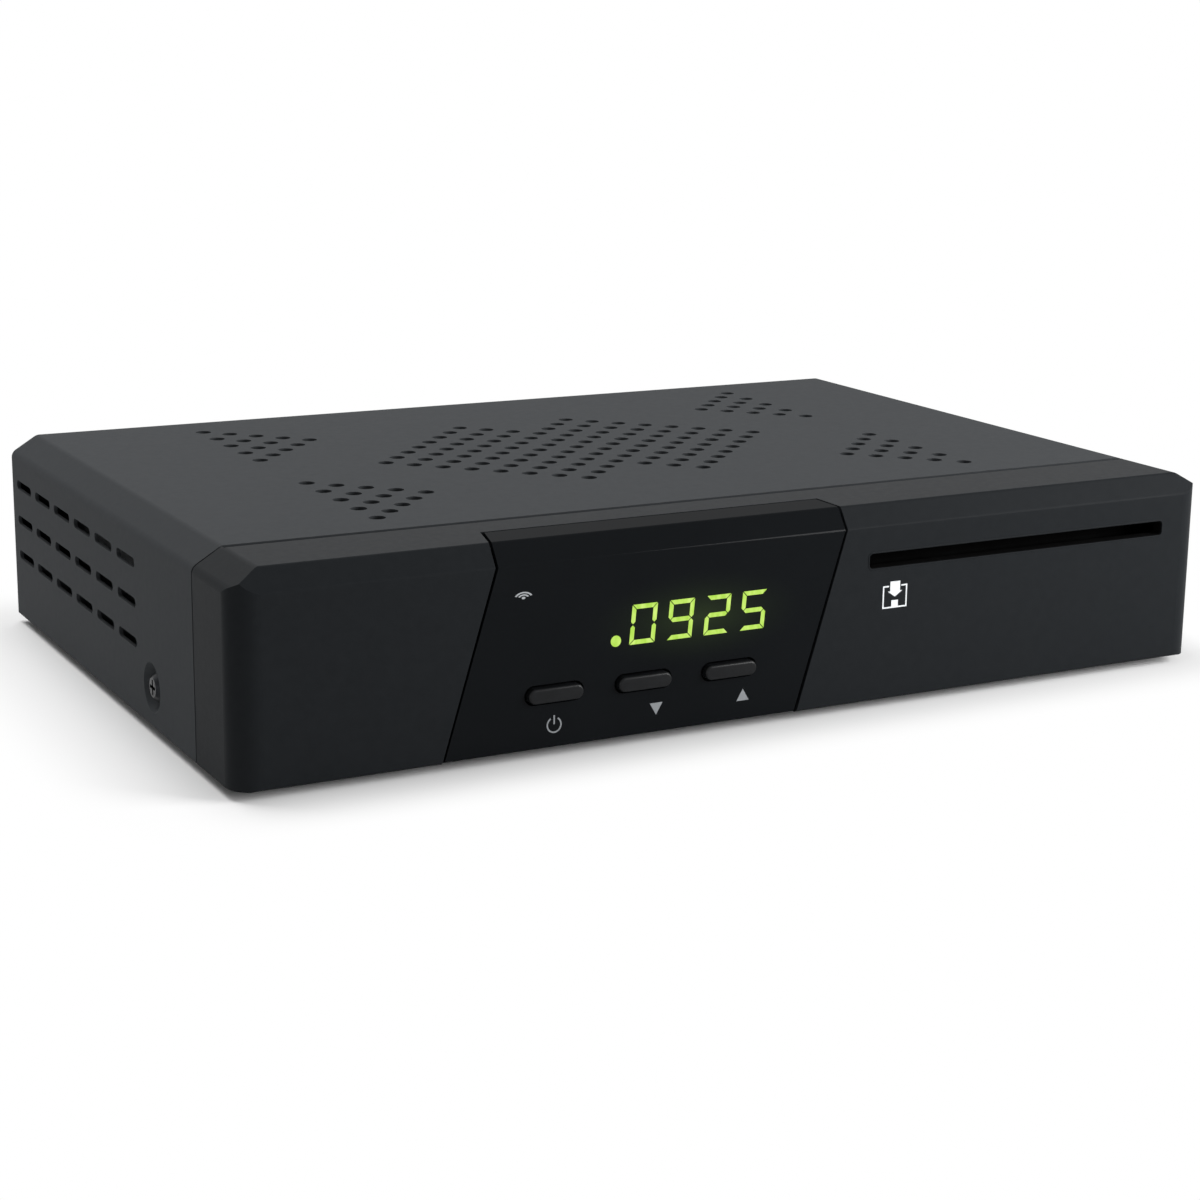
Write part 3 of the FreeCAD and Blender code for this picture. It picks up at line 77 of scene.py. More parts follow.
# Light: the sky's level on the object, and each lamp's place and width in metres and its power.
SKY_LEVEL = 0.25
LAMPS = [
    ("top", (-0.2, 0.3, 0.7), 0.5, 4.9),
    ("right", (0.37, -0.38, 0.2), 0.3, 3.6),
    ("left", (-0.7, -0.42, 0.15), 0.12, 0.4),
]

# Floor: its half width and, beside the case, the distance over which it turns white, in metres.
FLOOR_REACH, FLOOR_FADE, FLOOR_SHADE = 40, 0.029, 0.88

# Printed marks start this far behind the face and stand this far proud of it.
PRINT_BACK, PRINT_PROUD = 0.02, 0.04

# Display
DIGITS = "0925"
DIGIT_FIRST, DIGIT_PITCH, DIGIT_LEVEL = -28.05, 8.17, 22.35
DIGIT_WIDTH, DIGIT_HEIGHT, BAR_WIDTH, BAR_GAP = 5.5, 7.8, 0.88, 0.12
DIGIT_LEAN = math.tan(math.radians(5))
POINT_PLACE, POINT_RADIUS = (-34.0, 19.55), 1.1
LIT_BARS = {"0": "abcdef", "9": "abcdfg", "2": "abged", "5": "afgcd"}
# The glow round the digits: its reach each way in metres, and its strength.
GLOW_REACH, GLOW_STRENGTH = (0.026, 0.02, 0.01), 0.045

# Marks: their places, and the sizes that they are drawn with.
STROKE = 0.3
STANDBY_PLACE, STANDBY_RADIUS = (-47.0, 4.75), 1.45
TRIANGLE_HALF, TRIANGLE_RISE = 1.4, 1.2
DOWN_PLACE, UP_PLACE = (-25.0, 5.05), (-5.5, 5.4)
SENSOR_PLACE, SENSOR_RADII, SENSOR_STROKE, SENSOR_FLATNESS = (-53.55, 30.1), (0.95, 1.7), 0.4, 0.6
CARD_LEFT, CARD_RIGHT, CARD_LOW, CARD_HIGH = 27.0, 32.9, 19.15, 23.85
CHIP_HALF, CHIP_RISE = 0.8, 1.6
ARROW_STEM, ARROW_HEAD = 1.2, 1.75
ARROW_TIP, ARROW_BASE, ARROW_TOP = -2.4, -1.2, 0.8

# Buttons: the caps, and the flange and stem behind each.
BUTTON_X = {"power": -47.0, "channel_down": -27.9, "channel_up": -8.8}
BUTTON_LEVEL, CAP_LENGTH, CAP_HEIGHT = 10.95, 11.6, 3.0
CAP_ROUND, CAP_PROUD = 0.5, 1.2
FLANGE_RIM, FLANGE_THICK = 1.0, 1.0
STEM_RADIUS, STEM_LENGTH = 1.5, 1.5

# Card slot, the lip round it, and a matt black sleeve in it that is painted shade for the slot's
# dark inside.
SLOT_X, SLOT_LEVEL, SLOT_LENGTH, SLOT_HEIGHT, SLOT_ROUND = 61.25, 29.3, 75.5, 3.1, 0.8
RIM_WIDTH, RIM_BACK, RIM_PROUD, RIM_ROUND = 0.35, 0.05, 0.1, 0.1
SHADE_SLEEVE_WALL, SHADE_SLEEVE_GAP, SHADE_SLEEVE_START, SHADE_SLEEVE_DEPTH = 0.12, 0.04, 0.25, 2.3

# Contact strips of the network socket, placed from the socket's rear face and its underside.
CONTACTS, CONTACT_PITCH, CONTACT_REACH, CONTACT_LEVEL = 8, 1.02, 6, 9.6
CONTACT_SIZE, CONTACT_ROUND = (0.45, 6, 0.2), 0.05


# Materials


def colour(code):
    """A colour given as it should look, turned to the linear values that shaders take."""
    parts = [int(code[n:n + 2], 16) / 255 for n in (1, 3, 5)]
    linear = [c / 12.92 if c <= 0.04045 else ((c + 0.055) / 1.055) ** 2.4 for c in parts]
    return (*linear, 1.0)


def start_material(name, code, roughness, metallic=0.0, specular=0.5):
    finish = bpy.data.materials.new(name)
    finish.use_nodes = True
    shader = finish.node_tree.nodes["Principled BSDF"]
    shader.inputs["Base Color"].default_value = colour(code)
    shader.inputs["Roughness"].default_value = roughness
    shader.inputs["Metallic"].default_value = metallic
    shader.inputs["Specular IOR Level"].default_value = specular
    return finish, shader


def noise(finish, scale, detail=2.0, stretch=(1, 1, 1), turn=(0, 0, 0)):
    """Noise on the object's own coordinates; scale is in features per metre."""
    nodes, links = finish.node_tree.nodes, finish.node_tree.links
    place = nodes.new("ShaderNodeTexCoord")
    mapping = nodes.new("ShaderNodeMapping")
    mapping.inputs["Scale"].default_value = stretch
    mapping.inputs["Rotation"].default_value = turn
    texture = nodes.new("ShaderNodeTexNoise")
    texture.inputs["Scale"].default_value = scale
    texture.inputs["Detail"].default_value = detail
    links.new(place.outputs["Object"], mapping.inputs["Vector"])
    links.new(mapping.outputs["Vector"], texture.inputs["Vector"])
    return texture.outputs["Fac"]


def spread(finish, value, low, high):
    """Map the middle half of a noise, which holds nearly all of it, on to a range."""
    nodes, links = finish.node_tree.nodes, finish.node_tree.links
    mapped = nodes.new("ShaderNodeMapRange")
    mapped.inputs["From Min"].default_value = 0.25
    mapped.inputs["From Max"].default_value = 0.75
    mapped.inputs["To Min"].default_value = low
    mapped.inputs["To Max"].default_value = high
    links.new(value, mapped.inputs["Value"])
    return mapped.outputs["Result"]


def vary_roughness(finish, shader, value, low, high):
    finish.node_tree.links.new(spread(finish, value, low, high), shader.inputs["Roughness"])


def vary_colour(finish, shader, value, dark, light, socket="Base Color"):
    nodes, links = finish.node_tree.nodes, finish.node_tree.links
    mix = nodes.new("ShaderNodeMix")
    mix.data_type = "RGBA"
    mix.inputs["A"].default_value = colour(dark)
    mix.inputs["B"].default_value = colour(light)
    links.new(spread(finish, value, 0.0, 1.0), mix.inputs["Factor"])
    links.new(mix.outputs["Result"], shader.inputs[socket])


def bump(finish, shader, value, height, strength, under=None):
    """Surface relief; height is in millimetres."""
    nodes, links = finish.node_tree.nodes, finish.node_tree.links
    relief = nodes.new("ShaderNodeBump")
    relief.inputs["Distance"].default_value = height * MM
    relief.inputs["Strength"].default_value = strength
    links.new(value, relief.inputs["Height"])
    if under:
        links.new(under, relief.inputs["Normal"])
    links.new(relief.outputs["Normal"], shader.inputs["Normal"])
    return relief.outputs["Normal"]


def powder_coat(name, dark, light, rough, specular):
    """Satin paint baked on steel: a fine orange peel with an even colour."""
    finish, shader = start_material(name, light, rough, specular=specular)
    vary_colour(finish, shader, noise(finish, 700, detail=3), dark, light)
    vary_roughness(finish, shader, noise(finish, 600, detail=3), rough - 0.02, rough + 0.02)
    peel = bump(finish, shader, noise(finish, 900), height=0.02, strength=0.35)
    bump(finish, shader, noise(finish, 3500), height=0.008, strength=0.4, under=peel)
    return finish


def moulded(name, dark, light, rough, specular, grain=0.01, coat=0.0):
    """Moulded plastic with the fine spark texture of its tool."""
    finish, shader = start_material(name, light, rough, specular=specular)
    shader.inputs["Coat Weight"].default_value = coat
    shader.inputs["Coat Roughness"].default_value = 0.25
    vary_colour(finish, shader, noise(finish, 500, detail=3), dark, light)
    vary_roughness(finish, shader, noise(finish, 700, detail=3), rough - 0.02, rough + 0.02)
    bump(finish, shader, noise(finish, 2600, detail=3), height=grain, strength=0.5)
    return finish


def piano_gloss():
    """Smoked gloss plastic: near black, faint dust and a green glow round the digits."""
    finish, shader = start_material("smoked_gloss", "#121416", 0.22, specular=0.0)
    shader.inputs["Coat Weight"].default_value = 0.09
    shader.inputs["Coat Roughness"].default_value = 0.12
    vary_colour(finish, shader, noise(finish, 30, detail=3), "#0b0d0f", "#0f1113")
    vary_roughness(finish, shader, noise(finish, 160, detail=5), 0.18, 0.27)
    nodes, links = finish.node_tree.nodes, finish.node_tree.links
    place = nodes.new("ShaderNodeTexCoord")
    mapping = nodes.new("ShaderNodeMapping")
    mapping.vector_type = "TEXTURE"
    middle = DIGIT_FIRST + (len(DIGITS) - 1) / 2 * DIGIT_PITCH
    mapping.inputs["Location"].default_value = on_face(middle, DIGIT_LEVEL)
    mapping.inputs["Scale"].default_value = GLOW_REACH
    glow = nodes.new("ShaderNodeTexGradient")
    glow.gradient_type = "QUADRATIC_SPHERE"
    strength = nodes.new("ShaderNodeMath")
    strength.operation = "MULTIPLY"
    strength.inputs[1].default_value = GLOW_STRENGTH
    links.new(place.outputs["Object"], mapping.inputs["Vector"])
    links.new(mapping.outputs["Vector"], glow.inputs["Vector"])
    links.new(glow.outputs["Fac"], strength.inputs[0])
    links.new(strength.outputs["Value"], shader.inputs["Emission Strength"])
    shader.inputs["Emission Color"].default_value = colour("#a8d070")
    return finish


def sheet_metal(name, dark, light, rough):
    """Plated sheet with the fine lines of its rolling."""
    finish, shader = start_material(name, light, rough, metallic=1.0)
    vary_colour(finish, shader, noise(finish, 40, detail=4), dark, light)
    lines = noise(finish, 60, detail=3, stretch=(1, 1, 40))
    vary_roughness(finish, shader, lines, rough - 0.08, rough + 0.12)
    bump(finish, shader, lines, height=0.01, strength=0.3)
    return finish


def turned_metal(name, dark, light, rough):
    """Machined and plated metal, with faint tool marks along it."""
    finish, shader = start_material(name, light, rough, metallic=1.0)
    vary_colour(finish, shader, noise(finish, 300, detail=3), dark, light)
    marks = noise(finish, 200, stretch=(1, 12, 1))
    vary_roughness(finish, shader, marks, rough - 0.06, rough + 0.1)
    bump(finish, shader, marks, height=0.006, strength=0.4)
    return finish


def rubber():
    finish, shader = start_material("foot_rubber", "#1a1a1b", 0.8, specular=0.3)
    vary_colour(finish, shader, noise(finish, 200, detail=3), "#141415", "#202021")
    bump(finish, shader, noise(finish, 1800, detail=3), height=0.03, strength=0.6)
    return finish


def circuit_board(name, dark, light, specular=0.5):
    """Solder mask over copper tracks."""
    finish, shader = start_material(name, light, 0.35, specular=specular)
    tracks = noise(finish, 220, detail=0, stretch=(1, 3, 1))
    vary_colour(finish, shader, tracks, dark, light)
    bump(finish, shader, tracks, height=0.03, strength=0.5)
    return finish


def print_ink(name, code):
    """Silk-screened ink: matt, with slightly uneven cover."""
    finish, shader = start_material(name, code, 0.6, specular=0.3)
    bump(finish, shader, noise(finish, 4000), height=0.01, strength=0.3)
    vary_roughness(finish, shader, noise(finish, 900, detail=3), 0.5, 0.7)
    return finish


def lit_bar():
    """Display light behind its diffuser: brighter in streaks, as the photographed bars are."""
    finish, shader = start_material("display_light", "#2c3a14", 0.5, specular=0.1)
    streaks = noise(finish, 900, stretch=(1, 1, 0.4), turn=(0, 0.5, 0))
    vary_colour(finish, shader, streaks, "#9fd234", "#d3f07e", socket="Emission Color")
    shader.inputs["Emission Strength"].default_value = 1.0
    return finish


def make_finishes():
    """The finish of each material slot, of some nodes by their own names, and of the inks."""
    return {
        "cover_metal": powder_coat("cover_coat", "#353739", "#37393b", 0.58, 0.025),
        "chassis_metal": powder_coat("chassis_coat", "#17181a", "#1c1d1f", 0.6, 0.08),
        "bezel_plastic": moulded("bezel_moulding", "#1b1d1f", "#1d1f21", 0.46, 0.025),
        "panel_gloss": piano_gloss(),
        "button_plastic": moulded("button_moulding", "#0f1011", "#131416", 0.4, 0.04,
                                  grain=0.006, coat=0.2),
        "foot_rubber": rubber(),
        "screw_black": turned_metal("black_zinc", "#1e1f21", "#2b2c2e", 0.35),
        "screw_steel": turned_metal("bright_zinc", "#a3a4a6", "#c0c1c2", 0.3),
        "brass_post": turned_metal("brass", "#a88b4a", "#c6a860", 0.3),
        "circuit_board": circuit_board("board_green", "#0b3b23", "#15593a"),
        # The card reader's board is made near black as painted shade, so the card slot's inside
        # stays dark.
        "card_board": circuit_board("card_board_painted_shade", "#060606", "#0a0b0b", specular=0.03),
        # The card reader's frame is black plastic made near black here as painted shade inside
        # the card slot; the slot's sleeve takes this finish too.
        "card_reader_frame": moulded("reader_black_and_painted_shade", "#060606", "#090909", 0.85, 0.02),
        "tin_plate": sheet_metal("tin_plate", "#b0b2b2", "#c9cbca", 0.28),
        # The tuner's can and lid are tin plate darkened as painted shade, for the dark inside of
        # the closed case seen through the vents.
        "tuner_can": sheet_metal("painted_shade_tin", "#4c4e4f", "#5a5c5d", 0.6),
        "tuner_lid": sheet_metal("painted_shade_tin_lid", "#4c4e4f", "#5a5c5d", 0.6),
        "nickel": turned_metal("nickel", "#b5b1a6", "#cfccc2", 0.2),
        "white_plastic": moulded("white_moulding", "#d6d6d0", "#e2e2dd", 0.45, 0.4),
        "black_plastic": moulded("black_moulding", "#101011", "#151516", 0.55, 0.2, grain=0.02),
        "yellow_plastic": moulded("yellow_moulding", "#d8a412", "#e3b11e", 0.4, 0.45),
        "red_plastic": moulded("red_moulding", "#a81c18", "#bb2520", 0.4, 0.45),
        "orange_plastic": moulded("orange_moulding", "#cf5c12", "#dd6a1c", 0.4, 0.45),
        "thermal_pad": moulded("soft_pad", "#8790a0", "#9aa3b0", 0.8, 0.2),
        "sink_aluminium": sheet_metal("extruded_aluminium", "#b9bbbe", "#d0d2d4", 0.35),
        "contact_gold": turned_metal("gold_plate", "#c9a24a", "#e0bc66", 0.25),
        "display_light": lit_bar(),
        "white_ink": print_ink("white_ink", "#d4d7d9"),
        "sensor_ink": print_ink("sensor_ink", "#9b9ea1"),
        "grey_ink": print_ink("grey_ink", "#7d8083"),
    }


# Mesh tools


def keep(name, mesh, finish, body, replaced=()):
    """Turn a finished mesh into a piece that rides on a body."""
    bmesh.ops.recalc_face_normals(mesh, faces=mesh.faces)
    data = bpy.data.meshes.new(name)
    mesh.to_mesh(data)
    mesh.free()
    data.materials.append(finish)
    item = bpy.data.objects.new(name, data)
    bpy.context.collection.objects.link(item)
    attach(item, body)
    if replaced:
        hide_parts(*replaced)
    return item


def on_face(x, z, depth=0.0):
    """A point on the front's face, or that far behind it."""
    return Vector((x, FACE_Y + depth, BASE_Z + z)) * MM


def face_matrix(x, z, depth):
    return Matrix.Translation(on_face(x, z, depth)) @ Matrix.Rotation(math.pi / 2, 4, "X")


def draw_out(mesh, faces, distance):
    """Extrude faces forward by a distance and return what that made."""
    grown = bmesh.ops.extrude_face_region(mesh, geom=faces)["geom"]
    moved = [part for part in grown if isinstance(part, bmesh.types.BMVert)]
    bmesh.ops.translate(mesh, verts=moved, vec=(0, -distance * MM, 0))
    return grown


def round_edges(mesh, edges, offset, segments):
    bmesh.ops.bevel(mesh, geom=edges, offset=offset * MM, segments=segments, profile=0.5,
                    affect="EDGES", material=-1)


def rounded_face(mesh, x, z, length, height, corner, depth, segments=32):
    """A rectangle with rounded corners, as one face that far behind the front's face."""
    turn = Matrix.Rotation(math.pi / segments, 4, "Z")
    made = bmesh.ops.create_circle(mesh, cap_ends=True, radius=corner * MM, segments=segments,
                                   matrix=face_matrix(x, z, depth) @ turn)
    centre = on_face(x, z, depth)
    for vert in made["verts"]:
        vert.co.x += math.copysign(length / 2 - corner, vert.co.x - centre.x) * MM
        vert.co.z += math.copysign(height / 2 - corner, vert.co.z - centre.z) * MM
    return made["verts"][0].link_faces[0]


def obround_face(mesh, x, z, length, height, depth):
    """A bar with round ends, as one face that far behind the front's face."""
    return rounded_face(mesh, x, z, length, height, height / 2, depth, segments=40)


# Printed marks and display


def plate(mesh, corners):
    """A flat printed shape on the face."""
    face = mesh.faces.new([mesh.verts.new(on_face(x, z, PRINT_BACK)) for x, z in corners])
    draw_out(mesh, [face], PRINT_BACK + PRINT_PROUD)


def bar(mesh, x0, z0, x1, z1):
    plate(mesh, [(x0, z0), (x1, z0), (x1, z1), (x0, z1)])


def disc(mesh, x, z, radius, segments=32):
    made = bmesh.ops.create_circle(mesh, cap_ends=True, radius=radius * MM, segments=segments,
                                   matrix=face_matrix(x, z, PRINT_BACK))
    draw_out(mesh, [made["verts"][0].link_faces[0]], PRINT_BACK + PRINT_PROUD)


def ring_arc(mesh, x, z, radius, stroke, start, sweep, steps=24):
    """A band bent round a centre; angles are in degrees, anticlockwise from the right."""
    angle = math.radians(start)
    out = Vector((math.cos(angle), 0, math.sin(angle)))
    centre = on_face(x, z)
    inner, outer = radius - stroke / 2, radius + stroke / 2
    corners = [(inner, PRINT_BACK), (outer, PRINT_BACK), (outer, -PRINT_PROUD),
               (inner, -PRINT_PROUD)]
    points = [centre + out * reach * MM + Vector((0, back * MM, 0)) for reach, back in corners]
    face = mesh.faces.new([mesh.verts.new(point) for point in points])
    bmesh.ops.spin(mesh, geom=[face, *face.edges, *face.verts], cent=centre, axis=(0, -1, 0),
                   angle=math.radians(sweep), steps=steps)


def bar_outlines():
    """Corners of each bar of a digit, by its usual letter; the bars meet in mitred corners."""
    side, top, width, gap = DIGIT_WIDTH / 2, DIGIT_HEIGHT / 2, BAR_WIDTH, BAR_GAP
    half = width / 2
    level = [(-side + gap, top), (side - gap, top), (side - width - gap, top - width),
             (width + gap - side, top - width)]
    upper = [(side, top - gap), (side, gap + half), (side - half, gap),
             (side - width, half + gap), (side - width, top - width - gap)]
    middle = [(half + gap - side, 0), (width + gap - side, half), (side - width - gap, half),
              (side - half - gap, 0), (side - width - gap, -half), (width + gap - side, -half)]
    return {
        "a": level, "b": upper, "g": middle,
        "c": [(x, -z) for x, z in upper], "d": [(x, -z) for x, z in level],
        "e": [(-x, -z) for x, z in upper], "f": [(-x, z) for x, z in upper],
    }


def display_digits(finish):
    mesh = bmesh.new()
    bars = bar_outlines()
    for place, digit in enumerate(DIGITS):
        middle = DIGIT_FIRST + place * DIGIT_PITCH
        for letter in LIT_BARS[digit]:
            plate(mesh, [(middle + x + z * DIGIT_LEAN, DIGIT_LEVEL + z) for x, z in bars[letter]])
    disc(mesh, *POINT_PLACE, POINT_RADIUS)
    return keep("display_digits", mesh, finish, CASE)


def standby_mark(finish):
    """Open ring with a stroke through its gap."""
    mesh = bmesh.new()
    x, z = STANDBY_PLACE
    half, foot, tip = STROKE / 2, 0.15, 1.9
    ring_arc(mesh, x, z, STANDBY_RADIUS, STROKE, start=120, sweep=300)
    bar(mesh, x - half, z + foot, x + half, z + tip)
    return keep("standby_mark", mesh, finish, CASE)


def channel_marks(finish):
    """A triangle under each channel button."""
    mesh = bmesh.new()
    for (x, z), way in ((DOWN_PLACE, -1), (UP_PLACE, 1)):
        rise = TRIANGLE_RISE * way
        corners = [(x - TRIANGLE_HALF, z - rise), (x + TRIANGLE_HALF, z - rise), (x, z + rise)]
        plate(mesh, corners[::way])
    return keep("channel_marks", mesh, finish, CASE)


def sensor_mark(finish):
    """Two flat arcs and a dot over the remote sensor."""
    mesh = bmesh.new()
    x, z = SENSOR_PLACE
    for radius in SENSOR_RADII:
        ring_arc(mesh, x, z, radius, SENSOR_STROKE, start=20, sweep=140, steps=16)
    disc(mesh, x, z, SENSOR_STROKE, segments=20)
    bmesh.ops.scale(mesh, vec=(1, 1, SENSOR_FLATNESS), verts=mesh.verts,
                    space=Matrix.Translation(-on_face(x, z)))
    return keep("sensor_mark", mesh, finish, CASE)


def card_mark(finish):
    """Plain pictogram: a card's outline with a chip, and an arrow into it."""
    mesh = bmesh.new()
    left, right, low, high = CARD_LEFT, CARD_RIGHT, CARD_LOW, CARD_HIGH
    middle, base = (left + right) / 2, low + STROKE
    bar(mesh, left, low, right, base)
    bar(mesh, left, base, left + STROKE, high - STROKE)
    bar(mesh, right - STROKE, base, right, high - STROKE)
    bar(mesh, left, high - STROKE, middle - ARROW_STEM - STROKE, high)
    bar(mesh, middle + ARROW_STEM + STROKE, high - STROKE, right, high)
    bar(mesh, middle - CHIP_HALF, base, middle + CHIP_HALF, low + CHIP_RISE)
    arrow = [(0, ARROW_TIP), (ARROW_HEAD, ARROW_BASE), (ARROW_STEM, ARROW_BASE),
             (ARROW_STEM, ARROW_TOP), (-ARROW_STEM, ARROW_TOP), (-ARROW_STEM, ARROW_BASE),
             (-ARROW_HEAD, ARROW_BASE)]
    plate(mesh, [(middle + x, high + z) for x, z in arrow])
    return keep("card_mark", mesh, finish, CASE)


# Buttons, slot and rear contacts


def button_cap(name, finish):
    """Bar with round ends and a softened rim, over the CAD button's flange and stem."""
    mesh = bmesh.new()
    x = BUTTON_X[name]
    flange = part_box(f"{name}_button")[1].y / MM - FACE_Y - FLANGE_THICK - STEM_LENGTH
    face = obround_face(mesh, x, BUTTON_LEVEL, CAP_LENGTH, CAP_HEIGHT, flange)
    grown = draw_out(mesh, [face], flange + CAP_PROUD)
    front = next(part for part in grown if isinstance(part, bmesh.types.BMFace))
    round_edges(mesh, list(front.edges), CAP_ROUND, segments=4)
    back = obround_face(mesh, x, BUTTON_LEVEL, CAP_LENGTH + 2 * FLANGE_RIM,
                        CAP_HEIGHT + 2 * FLANGE_RIM, flange + FLANGE_THICK)
    draw_out(mesh, [back], FLANGE_THICK)
    stem = face_matrix(x, BUTTON_LEVEL, flange + FLANGE_THICK + STEM_LENGTH / 2)
    bmesh.ops.create_cone(mesh, cap_ends=True, segments=24, radius1=STEM_RADIUS * MM,
                          radius2=STEM_RADIUS * MM, depth=STEM_LENGTH * MM, matrix=stem)
    cap = keep(f"{name}_cap", mesh, finish, f"{name}_key", [f"{name}_button"])
    for polygon in cap.data.polygons:
        polygon.use_smooth = True
    cap.data.set_sharp_from_angle(angle=math.radians(50))
    return cap


def slot_band(mesh, margin, wall, corner, depth, distance):
    """A closed band round the card slot, drawn out from a depth behind the front's face."""
    face = rounded_face(mesh, SLOT_X, SLOT_LEVEL, SLOT_LENGTH + margin, SLOT_HEIGHT + margin,
                        corner, depth)
    inset = bmesh.ops.inset_individual(mesh, faces=[face], thickness=wall * MM, depth=0)
    bmesh.ops.delete(mesh, geom=[face], context="FACES")
    return draw_out(mesh, inset["faces"], distance)


def slot_rim(finish):
    """Thin raised lip round the card slot."""
    mesh = bmesh.new()
    band = slot_band(mesh, 2 * RIM_WIDTH, RIM_WIDTH, SLOT_ROUND + RIM_WIDTH, RIM_BACK,
                     RIM_BACK + RIM_PROUD)
    front = [part for part in band if isinstance(part, bmesh.types.BMEdge)
             and len(part.link_faces) == 2
             and any(abs(face.normal.y) < 0.5 for face in part.link_faces)]
    round_edges(mesh, front, RIM_ROUND, segments=2)
    return keep("slot_rim", mesh, finish, CASE)


def slot_painted_shade_sleeve(finish):
    """Matt black sleeve just inside the card slot's walls: painted shade that keeps the slot's
    inside dark.
    """
    mesh = bmesh.new()
    slot_band(mesh, -SHADE_SLEEVE_GAP, SHADE_SLEEVE_WALL, SLOT_ROUND, SHADE_SLEEVE_START, -SHADE_SLEEVE_DEPTH)
    return keep("slot_painted_shade_sleeve", mesh, finish, CASE)


def network_contacts(finish):
    """A row of contact strips under the network socket's ceiling."""
    mesh = bmesh.new()
    low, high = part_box("network_socket")
    centre = (low.x + high.x) / 2
    size = Matrix.Diagonal((*(side * MM for side in CONTACT_SIZE), 1))
    for step in range(CONTACTS):
        x = centre + (step - (CONTACTS - 1) / 2) * CONTACT_PITCH * MM
        place = Matrix.Translation((x, high.y - CONTACT_REACH * MM, low.z + CONTACT_LEVEL * MM))
        bmesh.ops.create_cube(mesh, size=1, matrix=place @ size)
    round_edges(mesh, list(mesh.edges), CONTACT_ROUND, segments=1)
    return keep("network_contacts", mesh, finish, CASE)


# Stage


def make_floor():
    """Large pale floor that keeps the object's shadow and shows white further out."""
    mesh = bmesh.new()
    bmesh.ops.create_grid(mesh, x_segments=2, y_segments=2, size=FLOOR_REACH)
    data = bpy.data.meshes.new("floor")
    mesh.to_mesh(data)
    mesh.free()
    floor = bpy.data.objects.new("floor", data)
    bpy.context.collection.objects.link(floor)
    finish = bpy.data.materials.new("floor_white")
    finish.use_nodes = True
    nodes, links = finish.node_tree.nodes, finish.node_tree.links
    shader = nodes["Principled BSDF"]
    shader.inputs["Base Color"].default_value = (FLOOR_SHADE, FLOOR_SHADE, FLOOR_SHADE, 1)
    shader.inputs["Roughness"].default_value = 1.0
    shader.inputs["Specular IOR Level"].default_value = 0.0
    glow = nodes.new("ShaderNodeEmission")
    glow.inputs["Color"].default_value = (1, 1, 1, 1)
    mix = nodes.new("ShaderNodeMixShader")
    share = nodes.new("ShaderNodeMath")
    share.operation = "MULTIPLY"
    links.new(background_rays(nodes, links), share.inputs[0])
    links.new(whiter_outwards(nodes, links), share.inputs[1])
    links.new(share.outputs["Value"], mix.inputs["Fac"])
    links.new(shader.outputs["BSDF"], mix.inputs[1])
    links.new(glow.outputs["Emission"], mix.inputs[2])
    links.new(mix.outputs["Shader"], nodes["Material Output"].inputs["Surface"])
    data.materials.append(finish)


def whiter_outwards(nodes, links):
    """The share of plain white: none beside the case, and all of it a little way out."""
    place = nodes.new("ShaderNodeTexCoord")
    vector = place.outputs["Object"]
    half = (cad_bounds[1][0], REAR_Y * MM, 0)
    for operation, value in (("ABSOLUTE", None), ("SUBTRACT", half), ("MAXIMUM", (0, 0, 0)),
                             ("LENGTH", None)):
        step = nodes.new("ShaderNodeVectorMath")
        step.operation = operation
        if value:
            step.inputs[1].default_value = value
        links.new(vector, step.inputs[0])
        vector = step.outputs["Value" if operation == "LENGTH" else "Vector"]
    ramp = nodes.new("ShaderNodeMapRange")
    ramp.interpolation_type = "SMOOTHSTEP"
    ramp.inputs["From Max"].default_value = FLOOR_FADE
    links.new(vector, ramp.inputs["Value"])
    return ramp.outputs["Result"]


def background_rays(nodes, links):
    """1 for the rays that show the background: camera, glossy and transmission rays."""
    path = nodes.new("ShaderNodeLightPath")
    total = path.outputs["Is Camera Ray"]
    for name in ("Is Glossy Ray", "Is Transmission Ray"):
        either = nodes.new("ShaderNodeMath")
        either.operation = "MAXIMUM"
        links.new(total, either.inputs[0])
        links.new(path.outputs[name], either.inputs[1])
        total = either.outputs["Value"]
    return total


def make_world():
    """White where the background shows, and a softer sky as light on the object."""
    world = bpy.data.worlds.new("studio")
    bpy.context.scene.world = world
    world.use_nodes = True
    nodes, links = world.node_tree.nodes, world.node_tree.links
    soft = nodes["Background"]
    white = nodes.new("ShaderNodeBackground")
    for sky, level in ((soft, SKY_LEVEL), (white, 1.0)):
        sky.inputs["Color"].default_value = (1, 1, 1, 1)
        sky.inputs["Strength"].default_value = level
    mix = nodes.new("ShaderNodeMixShader")
    links.new(background_rays(nodes, links), mix.inputs["Fac"])
    links.new(soft.outputs["Background"], mix.inputs[1])
    links.new(white.outputs["Background"], mix.inputs[2])
    links.new(mix.outputs["Shader"], nodes["World Output"].inputs["Surface"])


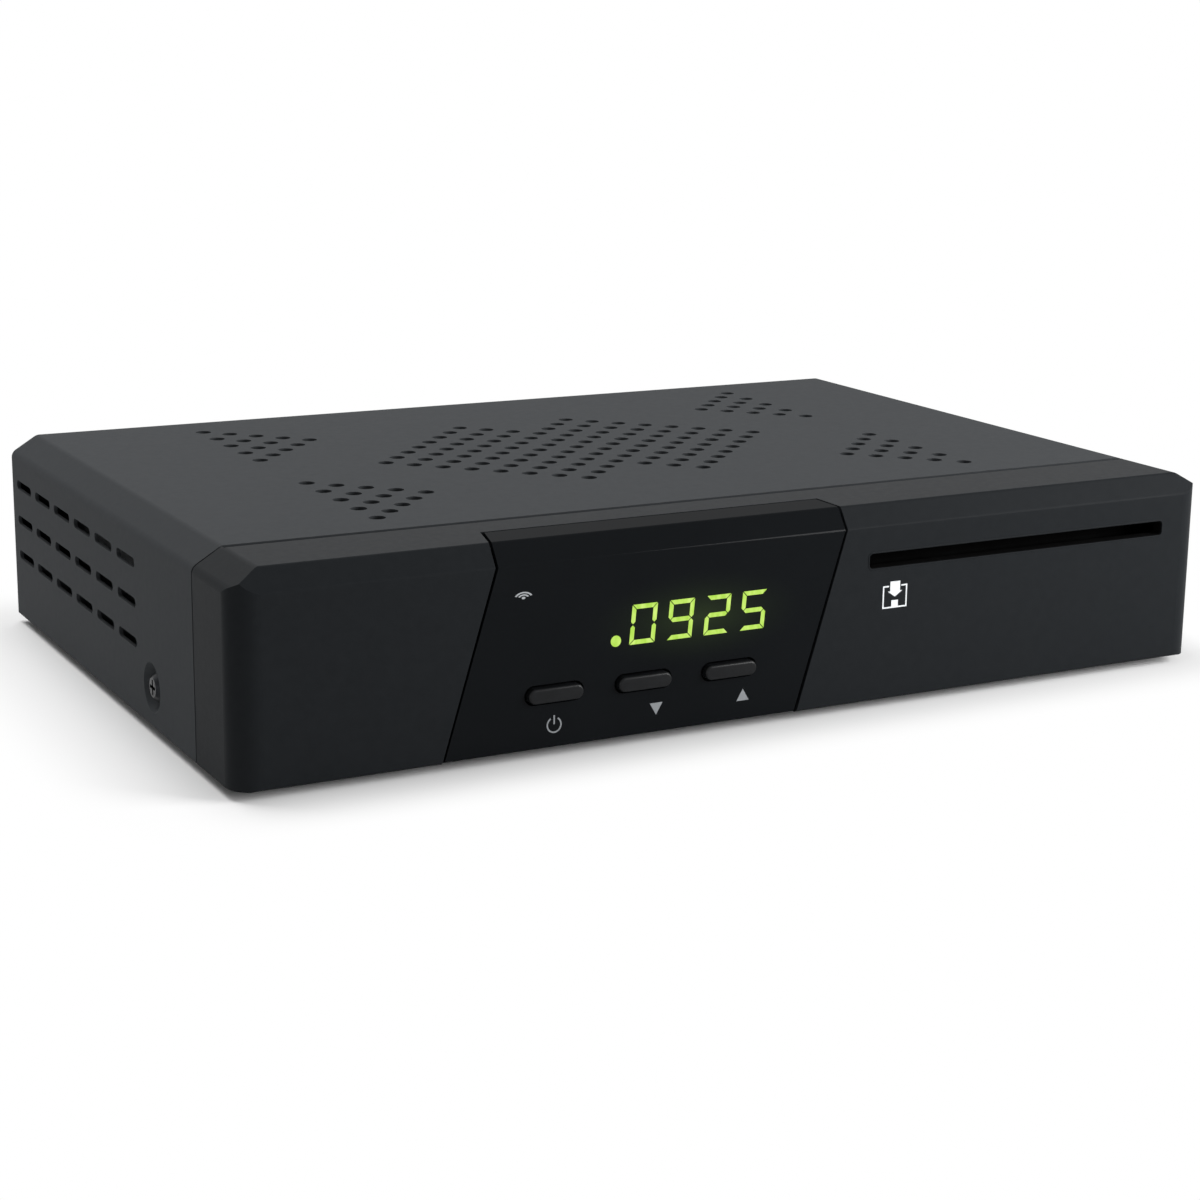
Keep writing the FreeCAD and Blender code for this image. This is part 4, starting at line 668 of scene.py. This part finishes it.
def area_lamp(name, place, size, power):
    lamp = bpy.data.lights.new(name, "AREA")
    lamp.shape = "SQUARE"
    lamp.size = size
    lamp.energy = power
    item = bpy.data.objects.new(name, lamp)
    item.location = place
    item.rotation_euler = (-Vector(place)).to_track_quat("-Z", "Y").to_euler()
    bpy.context.collection.objects.link(item)


def make_camera():
    azimuth, rise, roll = (math.radians(angle)
                           for angle in (CAMERA_AZIMUTH, CAMERA_RISE, CAMERA_ROLL))
    back = Vector((math.sin(azimuth) * math.cos(rise), -math.cos(azimuth) * math.cos(rise),
                   math.sin(rise)))
    level = (-back).cross(Vector((0, 0, 1))).normalized()
    upward = level.cross(-back)
    right = level * math.cos(roll) + upward * math.sin(roll)
    up = upward * math.cos(roll) - level * math.sin(roll)
    camera = bpy.data.cameras.new("camera")
    camera.sensor_width = CAMERA_SENSOR
    camera.lens = CAMERA_LENS
    camera.shift_x, camera.shift_y = CAMERA_SHIFT
    item = bpy.data.objects.new("camera", camera)
    turn = Matrix((right, up, back)).transposed().to_4x4()
    item.matrix_world = Matrix.Translation(Vector(CAMERA_PLACE) * MM) @ turn
    bpy.context.collection.objects.link(item)
    bpy.context.scene.camera = item


def dress_cad(finishes):
    """Give every CAD node the finish of its own name, or else of its material slot."""
    slots = {part["node"]: part["material_slot"] for part in frame["record"]["subparts"]}
    for name, item in frame["nodes"].items():
        item.data.materials.clear()
        item.data.materials.append(finishes.get(name) or finishes[slots[name]])


def make_scene():
    make_camera()
    make_world()
    for name, place, size, power in LAMPS:
        area_lamp(name, place, size, power)
    make_floor()
    finishes = make_finishes()
    dress_cad(finishes)
    display_digits(finishes["display_light"])
    standby_mark(finishes["grey_ink"])
    channel_marks(finishes["grey_ink"])
    sensor_mark(finishes["sensor_ink"])
    card_mark(finishes["white_ink"])
    for name in BUTTON_X:
        button_cap(name, finishes["button_plastic"])
    slot_rim(finishes["bezel_plastic"])
    # The sleeve in the card slot is painted shade: a black sheet where the slot's inside is only
    # in shade.
    slot_painted_shade_sleeve(finishes["card_reader_frame"])
    network_contacts(finishes["contact_gold"])
    bpy.context.scene.view_settings.view_transform = "Standard"


make_scene()
